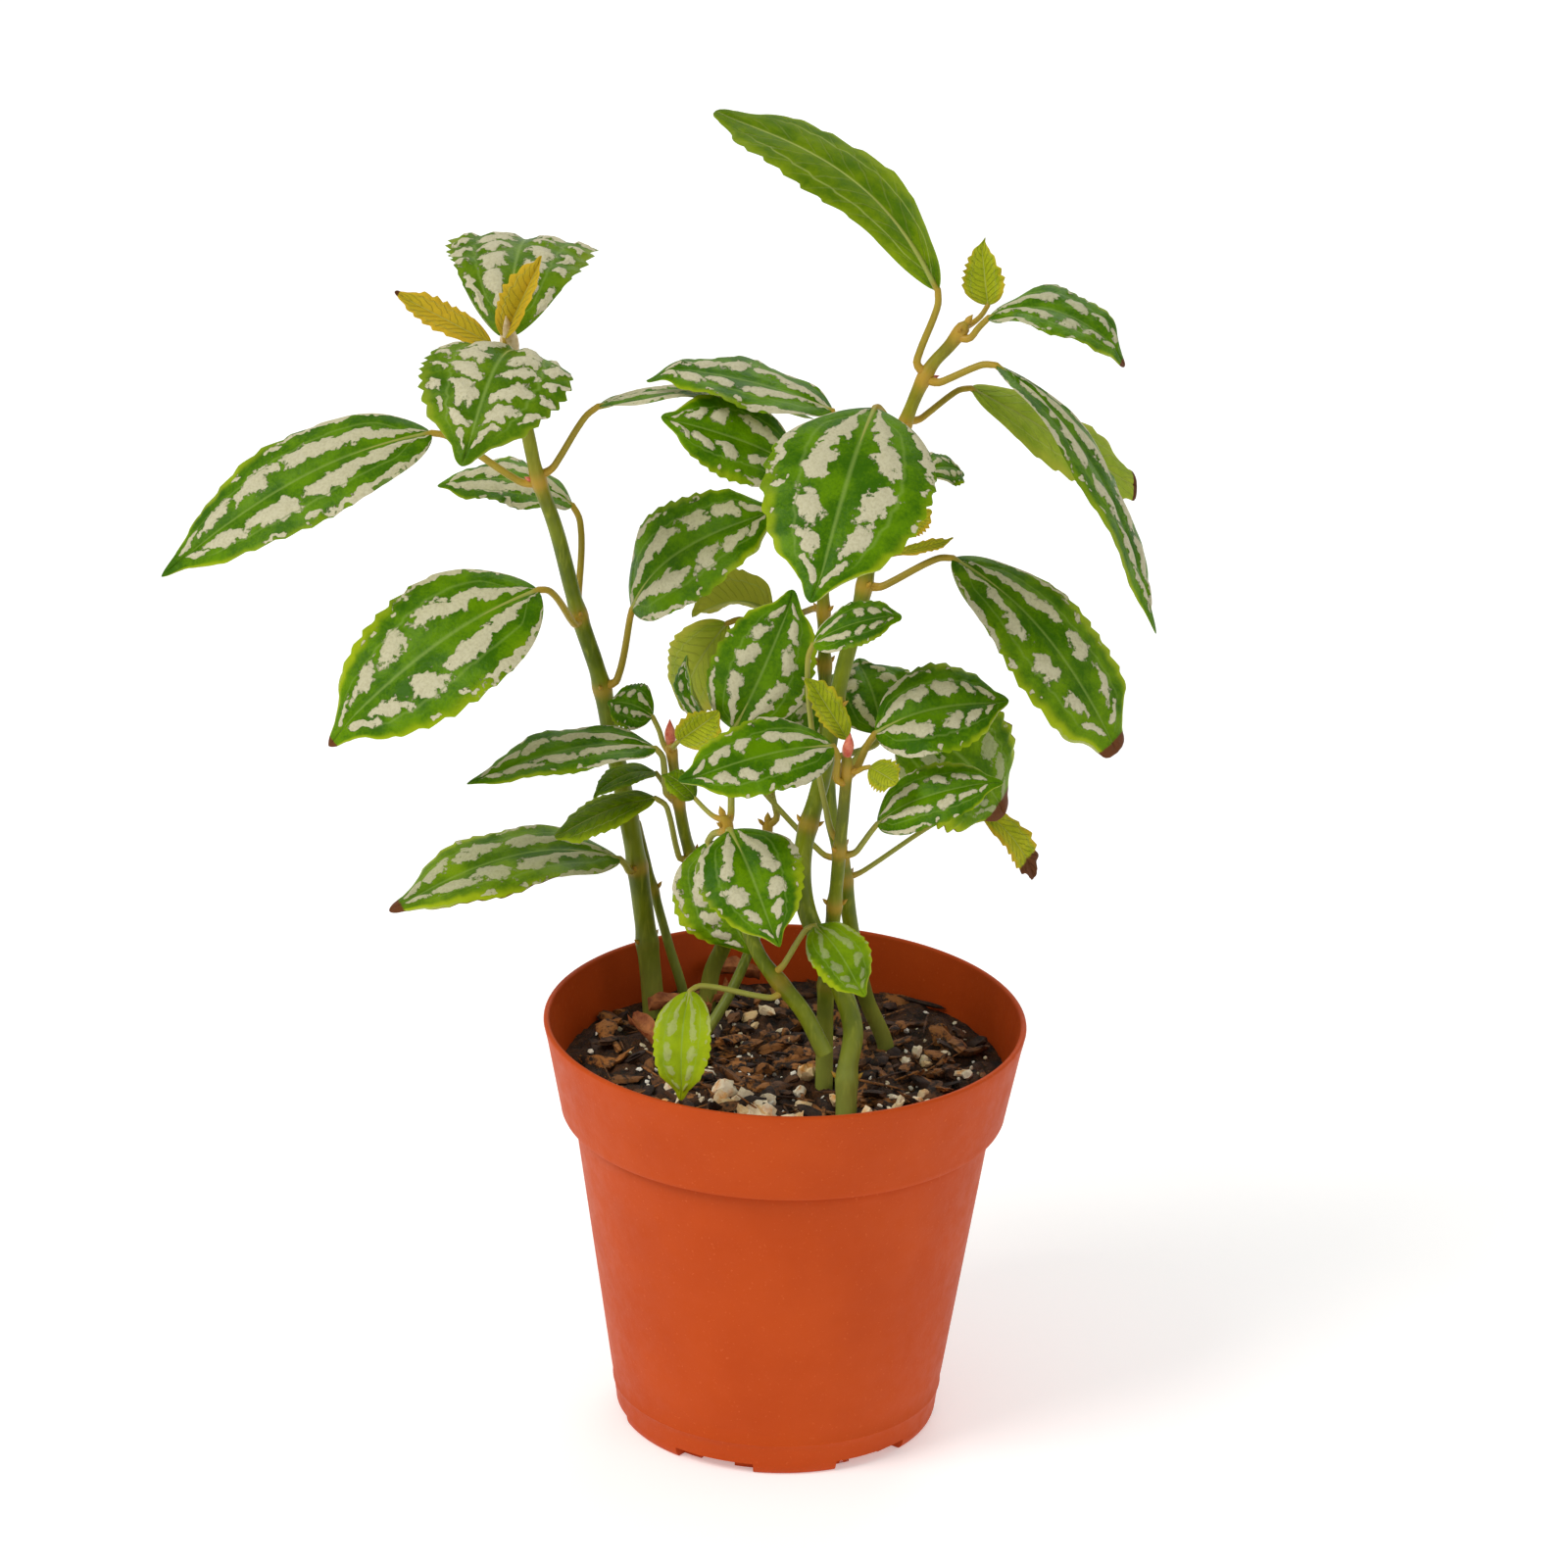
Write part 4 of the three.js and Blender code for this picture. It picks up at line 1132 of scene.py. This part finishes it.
scraps = Shape()
for x, y, heading, length, width in SCRAPS:
    grid = {}
    ahead = Vector((math.cos(heading), math.sin(heading), 0))
    side = Vector((-math.sin(heading), math.cos(heading), 0))
    for skin in (0, 1):
        for i in range(SCRAP_ROWS + 1):
            for j in range(SCRAP_COLUMNS + 1):
                s, p = i / SCRAP_ROWS, 2 * j / SCRAP_COLUMNS - 1
                half = width / 2 * math.sin(math.pi * (0.06 + 0.88 * s)) ** 0.7
                wrinkle = 0.8 * noise.noise(Vector((i * 0.5, j * 0.7, x)))
                curl = 2.6 * abs(p) ** 1.6 + 1.6 * math.sin(3.0 * s + x) + wrinkle
                foot = Vector((x, y, SOIL_TOP + 2.2 + curl - SCRAP_THICKNESS * skin))
                grid[skin, i, j] = scraps.point(foot + ahead * (length * (s - 0.5)) + side * (half * p))
    for i in range(SCRAP_ROWS):
        for j in range(SCRAP_COLUMNS):
            top = (grid[0, i, j], grid[0, i + 1, j], grid[0, i + 1, j + 1], grid[0, i, j + 1])
            scraps.face(tuple(reversed(top)))
            scraps.face((grid[1, i, j], grid[1, i + 1, j], grid[1, i + 1, j + 1], grid[1, i, j + 1]))
    edge = [(i, 0) for i in range(SCRAP_ROWS)] + [(SCRAP_ROWS, j) for j in range(SCRAP_COLUMNS)]
    edge += [(SCRAP_ROWS - i, SCRAP_COLUMNS - j) for i, j in edge]
    for a, b in zip(edge, edge[1:] + edge[:1]):
        scraps.face((grid[0, *a], grid[0, *b], grid[1, *b], grid[1, *a]))
scraps.build("dead_leaf_scraps", [dead_leaf], "potting_mix")
print(len(SCRAPS), "scraps with", len(scraps.faces), "faces")

# %% [markdown]
# ## Stems
# A stem is a tapered tube with more to it: it swells at each joint where a pair of leaves is or
# was, narrows just above it, and keeps two small dry scales, the stipules. The joints are found
# from the leaves in the table, with the old joints that have lost their leaves listed separately.
# Each swelling is a bell curve of the height above or below its joint.

# %% Stems with joints
BARE_JOINTS = {"left": [18, 52], "red_bud": [22], "tall_right": [8, 34, 62, 88], "short_right": [24, 44],
               "slim_right": [22], "front": [44], "back": [30], "left_side": [26]}
# joints with red scales, by their height in whole centimetres
RED_JOINTS = {("left", 13), ("tall_right", 12), ("tall_right", 16)}
STEM_SIDES, STEM_STEP = 18, 1.1
CONE_STEPS = 7
SAME_JOINT = 5
ABOVE_ALL = 999
GREEN, RED, CREAM = range(3)


def joints_of(name):
    """Heights of a stem's joints, those that nearly meet taken together."""
    heights = sorted([row[0] for row in LEAVES.get(name, {}).values()] + BARE_JOINTS[name])
    joints = []
    for height in heights:
        if joints and height - joints[-1] < SAME_JOINT:
            joints[-1] = (joints[-1] + height) / 2
        else:
            joints.append(height)
    return joints


def add_cone(shape, foot, direction, length, radius, look, blush=1.0, sides=8):
    """A small pointed scale or bud."""
    line = [foot + direction * (length * k / CONE_STEPS) for k in range(CONE_STEPS + 1)]
    swell = [math.sin(math.pi * (0.28 + 0.70 * k / CONE_STEPS)) ** 1.2 for k in range(CONE_STEPS + 1)]
    radii = [radius * max(0.06, share) for share in swell]
    shape.tube(line, radii, sides, look, [{"blush": blush}] * len(line))


def bell(distance, width):
    return math.exp(-((distance / width) ** 2))


def make_stem(name):
    rooted, foot, top, _ = STEMS[name]
    line = respaced(stem_places(name), STEM_STEP)
    run = measured(line)
    joints = joints_of(name)
    radii, numbers = [], []
    for place, done in zip(line, run):
        height = place.z - SOIL_TOP
        radius = between(foot, top, done / run[-1])
        near = max(bell(height - joint, 1.8) for joint in joints)
        above = max(bell(height - joint - 4.5, 2.6) for joint in joints)
        wide = max(bell(height - joint, 5.0) for joint in joints)
        end = 1 - 0.75 * smooth(run[-1] - 2.5, run[-1], done)
        radii.append((radius * (0.97 + 0.04 * wide) + 0.25 * near - 0.08 * above) * end)
        pale = smooth(26, 2, height) * 0.6 if height < 26 else 0.0
        young = smooth(0.55, 1.0, done / run[-1]) * 0.25
        ripe = smooth(4, 40, height)
        numbers.append({"blush": min(1.0, (0.38 * near + 0.12 * wide) * ripe + young), "pale": pale})
    shape = Shape()
    shape.tube(line, radii, STEM_SIDES, GREEN, numbers)
    for joint in joints[0 if rooted else 1:]:
        middle, along, radius = joint_on(name, joint)
        for turn in (0, math.pi):
            out = off(Matrix.Rotation(turn + joint * 0.7, 3, along) @ Vector((0.6, 0.5, 0.1)), along)
            scale_end = (out * 0.75 + along * 0.8).normalized()
            look = RED if (name, joint // 10) in RED_JOINTS else GREEN
            scale_foot = middle + out * (radius * 0.9)
            add_cone(shape, scale_foot, scale_end, length=2.0, radius=0.5, look=look, blush=0.8)
    return shape


for name in STEMS:
    shape = make_stem(name)
    tip, along, _ = joint_on(name, ABOVE_ALL)
    if name in ("red_bud", "short_right"):
        ahead = (along + Vector((0.1, -0.12, 0))).normalized()
        add_cone(shape, tip - along, ahead, length=6.0, radius=1.3, look=RED)
    elif name == "left":
        ahead = (along + Vector((0.15, -0.35, 0))).normalized()
        add_cone(shape, tip - along, ahead, length=11.0, radius=2.1, look=CREAM, blush=0.0, sides=14)
    else:
        add_cone(shape, tip - along, along, length=2.6, radius=0.8, look=GREEN, blush=0.7)
    shape.build(f"{name}_stalk", [flesh, bud_red, bud_cream], "green_stem", f"{name}_stem")
    print(f"{name}: joints at", [round(j) for j in joints_of(name)])

# %% [markdown]
# ## Leaf blades
# A blade is a closed grid with two skins. Its midrib is an arched line from the base to the tip,
# and its width swells quickly and is drawn out to a point. Leaves of one plant are alike but not
# equal, so what differs is kept in small tables: how toothed and puffed each kind is, and how
# dry, yellow, silvery or hooked single leaves are.

# %% Leaf kinds and single leaves
ROWS, COLUMNS = 76, 26
BLADE_THICKNESS, EDGE_THICKNESS = 0.5, 0.16
STALK_GAP, LONGEST_BEND, STALK_RADIUS = 0.8, 6.0, 0.85
KINDS = {
    # teeth from base to tip, depth of a tooth, height of the patches, depth of the vein grooves
    "striped": (12, 0.075, 0.50, 0.32),
    "crown": (13, 0.100, 0.75, 0.45),
    "plain": (10, 0.110, 0.12, 0.34),
    "young": (8, 0.240, 0.05, 0.22),
}
CROWN_LEAVES = {"left_crown_back", "left_crown_front"}
# how far the end of an old leaf has dried, and the leaves whose margin has dried too
BROWN = {"left_lowest": 0.08, "left_broad": 0.04, "left_crown_yellow": 0.06, "tall_hanging": 0.07,
         "tall_behind": 0.04, "tall_crown": 0.05, "slim_large": 0.14, "slim_withered": 0.35}
BROWN_EDGES = {"centre_arched", "slim_large", "left_lowest"}
# how yellow a leaf is
WARM = {"left_lowest": 0.55, "left_broad": 0.2, "left_crown_yellow": 0.85, "left_crown_upright": 0.85,
        "bud_plain": 0.3, "bud_yellow": 0.1, "front_heart": 0.3, "front_side": 0.45, "low_left": 1.1,
        "low_right": 0.6, "centre_arched": 0.9, "centre_drooping": 0.5, "slim_large": 0.5,
        "slim_withered": 0.3, "tall_hanging": 0.4, "tall_yellow": 0.1, "tall_bit": 0.5, "tall_thin": 0.5}
# how strongly a leaf's silver shows, how far it spreads, and how far the tip hooks down, in mm
SILVER = {"slim_large": 0.5, "low_left": 0.3, "low_right": 0.3, "left_lowest": 0.8, "tall_crown": 0.85}
RICH = {"left_behind": 0.9, "left_lowest": 0.25, "left_long": 0.3, "left_arching": 0.3, "bud_long": 0.3,
        "slim_top": 0.25}
HOOKED = {"slim_top": 4.0, "tall_crown": 2.5, "left_broad": 1.5}


def half_width(share, width, widest):
    rounded = 0.6
    pointed = rounded * (1 - widest) / widest
    peak = widest ** rounded * (1 - widest) ** pointed
    return width / 2 * share ** rounded * (1 - share) ** pointed / peak


print("a 30 mm blade, halfway to its widest:", round(2 * half_width(0.225, 30, 0.45), 1), "mm")

# %% [markdown]
# On the plain form come the details that make it a real leaf: teeth along the outer half of the
# margin, a groove over each main vein, patches blown up between them, a lazy wave in the margin,
# and a skin that thins to an edge. `s` goes from 0 at the base to 1 at the tip, and `p` from -1
# at one margin to 1 at the other. Each leaf draws its own small changes from its name, so it is
# the same leaf every time.

# %% One blade
WAVES, WRINKLE = 2.2, 0.35
CROSS_RIBS, CROSS_DEPTH = 7.5, 0.16
TOOTH_RISE = 0.78


class Blade:
    """One leaf's midrib, directions and random details, all in mm."""

    def __init__(self, name, stem, row):
        self.name, self.stem = name, stem
        self.height, base, tip, self.width, self.widest, self.arch, face, fold, self.kind = row
        details = KINDS["crown" if name in CROWN_LEAVES else self.kind]
        self.teeth, self.tooth, self.puff, self.groove = details
        self.patches = CROWN_PATCHES if name in CROWN_LEAVES else OLD_PATCHES
        self.base = grown(base)
        self.chord = grown(tip) - self.base
        self.up = off(Vector(face), self.chord.normalized())
        self.side = self.chord.normalized().cross(self.up)
        self.lift = math.radians(fold)
        dice = random.Random(name)
        self.slip = dice.uniform(0.012, 0.03) * dice.choice((-1, 1))
        self.phase = [dice.uniform(0, 2 * math.pi) for _ in range(4)]
        self.wave = dice.uniform(0.35, 0.75)
        self.hook = dice.uniform(-1.0, 1.0)
        self.seed = dice.uniform(0, 90)
        self.rich = RICH.get(name, dice.uniform(-0.2, 0.15))

    def midrib(self, s):
        return self.base + self.chord * s + self.up * (4 * self.arch * s * (1 - s) * (1.25 - 0.5 * s))

    def over(self, s):
        along = (self.midrib(s + 0.01) - self.midrib(s - 0.01)).normalized()
        return self.side.cross(along)

    def pattern(self, s, p):
        """Where a point lies in the pattern: each half is shifted a little the other way."""
        drift = self.slip * math.copysign(smooth(0.0, 0.3, abs(p)), p)
        ripple = 0.012 * math.sin(9 * s + self.phase[0] + 2 * p)
        row = abs(p) * (1 + 0.07 * math.sin(7 * s + self.phase[1] + 1.5 * math.copysign(1, p)))
        return min(1.0, max(0.0, s + (drift + ripple) * math.sin(math.pi * s))), min(1.0, row)

    def outline(self, s, p):
        """Half the width at s, with teeth, on the side that p is on."""
        half = half_width(s, self.width, self.widest)
        half *= 1 - 0.38 * smooth(0.80, 0.93, s) * (1 - 0.4 * smooth(0.95, 1.0, s))
        uneven = 0.45 * math.sin(6 * s + self.phase[0] + p)
        phase = s * self.teeth + self.phase[2] + uneven + (0.4 if p > 0 else 0.0)
        saw = phase % 1.0
        saw = saw / TOOTH_RISE if saw < TOOTH_RISE else (1 - saw) / (1 - TOOTH_RISE)
        return half * (1 + self.tooth * (saw - 0.6) * smooth(0.12, 0.55, s) * smooth(1.0, 0.93, s))

    def relief(self, s, p):
        """How far the blade stands up from its smooth shape."""
        along, row = self.pattern(s, p)
        q = abs(p)
        puffed = max(0.0, 1 - patch_distance(self.patches, along, row) ** 2)
        side_row = SIDE_ROW * smooth(0.0, SIDE_ROW_START, s)
        midrib = bell(q, 0.055)
        side_vein = bell(q - side_row, 0.05) * smooth(0.92, 0.75, s)
        cross = 0.5 + 0.5 * math.cos(2 * math.pi * (along * CROSS_RIBS - row * 0.9))
        size = min(1.0, self.width / 22)
        quilt = self.puff * smooth(0.0, 0.8, puffed) + CROSS_DEPTH * cross * smooth(0.05, 0.3, q) * (1 - q)
        ends = smooth(0.0, 0.05, s) * smooth(1.0, 0.95, s)
        return size * ends * (quilt * smooth(1.0, 0.8, q) - self.groove * (midrib + 0.6 * side_vein))

    def place(self, s, p, level):
        half = self.outline(s, p)
        q = abs(p)
        rise = half * (q * math.sin(self.lift) - 0.22 * p * p)
        turn = 2 * math.pi * WAVES * s + self.phase[3] + (1.3 if p > 0 else 0)
        wave = self.wave * q * q * math.sin(turn)
        wave += WRINKLE * noise.noise(Vector((s * 5, p * 1.5, self.seed))) * q
        wave *= min(1.0, self.width / 20) * smooth(0.0, 0.15, s) * smooth(1.0, 0.85, s)
        thick = between(BLADE_THICKNESS, EDGE_THICKNESS, q ** 1.5) * min(1.0, 0.35 + 3 * min(s, 1 - s))
        place = self.midrib(s) + self.side * (p * half * math.cos(self.lift))
        place += self.side * (self.hook * smooth(0.8, 1.0, s) ** 2)
        place -= self.up * (HOOKED.get(self.name, 0.0) * smooth(0.8, 1.0, s) ** 2)
        return place + self.over(s) * (rise + wave + self.relief(s, p) + level * thick / 2)

    def browned(self, s, p):
        """How dry a place is, from 0 to 1."""
        share = BROWN.get(self.name, 0.0)
        tip = smooth(1 - share, 1 - share * 0.35, s) if share else 0.0
        edge = 0.55 * smooth(0.9, 1.0, abs(p)) if self.name in BROWN_EDGES and s > 0.3 else 0.0
        return max(tip, edge)

    def stalk(self):
        """From inside the stem out to the base of the blade."""
        middle, along, radius = joint_on(self.stem, self.height)
        out = off(self.base - middle, along)
        start = middle + out * (radius + STALK_GAP)
        reach = min(0.22 * (start - self.base).length, LONGEST_BEND)
        ahead = (self.midrib(0.02) - self.base).normalized()
        toward = (out * 0.6 + (self.base - start).normalized()).normalized()
        b, c, d = start + toward * reach, self.base - ahead * reach, self.base
        bend = [start * (1 - t) ** 3 + b * (3 * t * (1 - t) ** 2) + c * (3 * t * t * (1 - t)) + d * t ** 3
                for t in (k / STEPS_BETWEEN for k in range(STEPS_BETWEEN + 1))]
        return [middle + out * (radius * 0.4)] + bend


print("a blade can tell:", [name for name in vars(Blade) if not name.startswith("_")])

# %% [markdown]
# The skins are two grids that share their margin, with a point at each end. Rows lie closer
# together near the base and the tip, where the outline turns fastest, and columns lie closer
# near the margin, where the teeth are.

# %% Skins of a blade
UPPER, LOWER, STALK = range(3)


def add_skins(shape, blade):
    name = blade.name
    looks = {"warm": WARM.get(name, 0.0), "rich": blade.rich, "silver": SILVER.get(name, 1.0)}
    columns = [math.copysign(abs(p) ** 0.92, p) for p in (2 * c / COLUMNS - 1 for c in range(COLUMNS + 1))]

    def add(s, p, level):
        along, across = blade.pattern(s, p)
        spread = (along, 0.5 + 0.5 * math.copysign(across, p))
        return shape.point(blade.place(s, p, level), spread, brown=blade.browned(s, p), **looks)

    base, tip = add(0.001, 0.0, 0), add(0.999, 0.0, 0)
    shares = [0.5 - 0.5 * math.cos(math.pi * between(0.035, 0.965, r / ROWS)) for r in range(ROWS + 1)]
    shares = [between(share, between(0.006, 0.994, r / ROWS), 0.6) for r, share in enumerate(shares)]
    rows = []
    for s in shares:
        top = [add(s, p, 1 if abs(p) < 1 else 0) for p in columns]
        low = [top[0]] + [add(s, p, -1) for p in columns[1:-1]] + [top[-1]]
        rows.append((top, low))
    for (top, low), (next_top, next_low) in zip(rows, rows[1:]):
        for c in range(COLUMNS):
            shape.face((top[c], next_top[c], next_top[c + 1], top[c + 1]), UPPER)
            shape.face((low[c], low[c + 1], next_low[c + 1], next_low[c]), LOWER)
    for c in range(COLUMNS):
        shape.face((base, rows[0][0][c], rows[0][0][c + 1]), UPPER)
        shape.face((base, rows[0][1][c + 1], rows[0][1][c]), LOWER)
        shape.face((tip, rows[-1][0][c + 1], rows[-1][0][c]), UPPER)
        shape.face((tip, rows[-1][1][c], rows[-1][1][c + 1]), LOWER)


print("each skin has", ROWS + 1, "rows of", COLUMNS + 1, "points")

# %% [markdown]
# The stalk is a tube from inside the stem to the base of the blade. It goes on under the blade as
# the raised midrib, and thins out before it is halfway to the tip. Stalks low on the plant grew
# in the shade and are paler.

# %% Stalk and midrib
STALK_SIDES, RIB_STEPS, RIB_END = 12, 12, 0.45
SHADED_BELOW = 75


def add_stalk(shape, blade):
    stalk = respaced(smooth_line(respaced(blade.stalk(), 3.0)), 1.0)
    radius = STALK_RADIUS * min(1.0, 0.55 + blade.width / 55)
    run = measured(stalk)
    radii = [radius * (1 + 0.3 * bell(d, 2.2) - 0.12 * d / run[-1]) for d in run]
    blush, pale = (0.25, 0.75) if blade.height < SHADED_BELOW else (0.45, 0.1)
    flush = [blush + 0.4 * bell(d, 3) + 0.1 * smooth(0.8, 1.0, d / run[-1]) for d in run]
    numbers = [{"blush": share, "pale": pale} for share in flush]
    for k in range(1, RIB_STEPS + 1):
        s = RIB_END * k / RIB_STEPS
        sink = blade.over(s) * (0.30 + 0.10 * smooth(0, 4, k))
        stalk.append(blade.midrib(s) - sink)
        radii.append(radius * between(0.80, 0.12, k / RIB_STEPS))
        numbers.append({"blush": 0.15, "pale": 0.9})
    shape.tube(stalk, radii, STALK_SIDES, STALK, numbers)


print("the raised midrib ends at", RIB_END, "of the blade")

# %% [markdown]
# A leaf takes the finish of its kind on its upper skin. The crown leaves have a finish of their
# own, two leaves take the pale underside finish on their upper skin, lightened as painted light
# shining through them, and one large leaf has faint silver though its surface is plain. Below,
# most leaves are pale, but the young ones and the top leaf look the same all round.

# %% All the leaves
TOPS = {"striped": striped_old, "plain": plain_top, "young": young_top}
# centre_drooping and tall_behind wear the underside finish on top: pale, and lightened as painted light
OTHER_TOPS = {"left_crown_back": striped_crown, "left_crown_front": striped_crown, "slim_large": striped_old,
              "centre_drooping": underside_and_painted_light, "tall_behind": underside_and_painted_light}
BELOW_TOPS = {"striped": underside_and_painted_light, "plain": underside_and_painted_light, "young": young_top}
OTHER_BELOW = {"tall_top": plain_top}


def make_leaf(name, stem, row):
    blade = Blade(name, stem, row)
    shape = Shape()
    add_skins(shape, blade)
    add_stalk(shape, blade)
    above = OTHER_TOPS.get(name, TOPS[blade.kind])
    below = OTHER_BELOW.get(name, BELOW_TOPS[blade.kind])
    shape.build(f"{name}_blade", [above, below, flesh], f"{blade.kind}_leaf", f"{name}_leaf")


for stem, rows in LEAVES.items():
    for name, row in rows.items():
        make_leaf(name, stem, row)
    print(len(rows), "leaves on the", stem, "stem")

# %% [markdown]
# ## Stage and light
# A large pale floor and a nearly white surround give a clean catalogue picture. The floor glows a
# little, so that it stays white where the lights don't reach. A wide key light on the left and
# above models the leaves, a weaker one on the right opens the shadows, and one behind the plant
# lights the margins.

# %% Floor, surround and lights
FLOOR_HALF = 6000.0
FLOOR_PAINT, FLOOR_GLOW = paint(250, 250, 249), 0.32
SURROUND = 0.5
AIM = Vector((0, 0, 0.14))


def floor_finish(place):
    return {"Roughness": cloudy(place, 4.0).ramp(0.3, 0.7, 0.75, 0.85)}


def make_floor():
    corners = ((-1, -1), (1, -1), (1, 1), (-1, 1))
    mesh = bpy.data.meshes.new("floor")
    mesh.from_pydata([Vector((x, y, 0)) * FLOOR_HALF * MM for x, y in corners], [], [(0, 1, 2, 3)])
    glow = {"Emission_Color": FLOOR_PAINT, "Emission_Strength": FLOOR_GLOW}
    mesh.materials.append(new_finish("floor", floor_finish, Base_Color=FLOOR_PAINT, **glow))
    floor = bpy.data.objects.new("floor", mesh)
    bpy.context.scene.collection.objects.link(floor)


def soft_light(name, place, size, watts, colour=(1.0, 1.0, 1.0)):
    data = bpy.data.lights.new(name, "AREA")
    data.shape, data.size, data.energy, data.color = "DISK", size, watts, colour
    light = bpy.data.objects.new(name, data)
    light.location = place
    light.rotation_mode = "QUATERNION"
    light.rotation_quaternion = (AIM - Vector(place)).to_track_quat("-Z", "Y")
    bpy.context.scene.collection.objects.link(light)
    print(f"{name} light: {watts} W")


make_floor()
world = bpy.data.worlds.new("surround")
world.use_nodes = True
backdrop = world.node_tree.nodes["Background"]
backdrop.inputs["Color"].default_value = (1.0, 1.0, 1.0, 1.0)
backdrop.inputs["Strength"].default_value = SURROUND
bpy.context.scene.world = world
soft_light("key", (-1.1, -0.75, 1.5), 0.9, 18.0, (1.0, 0.98, 0.95))
soft_light("fill", (1.3, -0.9, 0.7), 1.2, 3.0)
soft_light("back", (0.3, 1.3, 1.2), 1.0, 5.0)
bpy.context.scene.view_settings.view_transform = "Standard"

# %% [markdown]
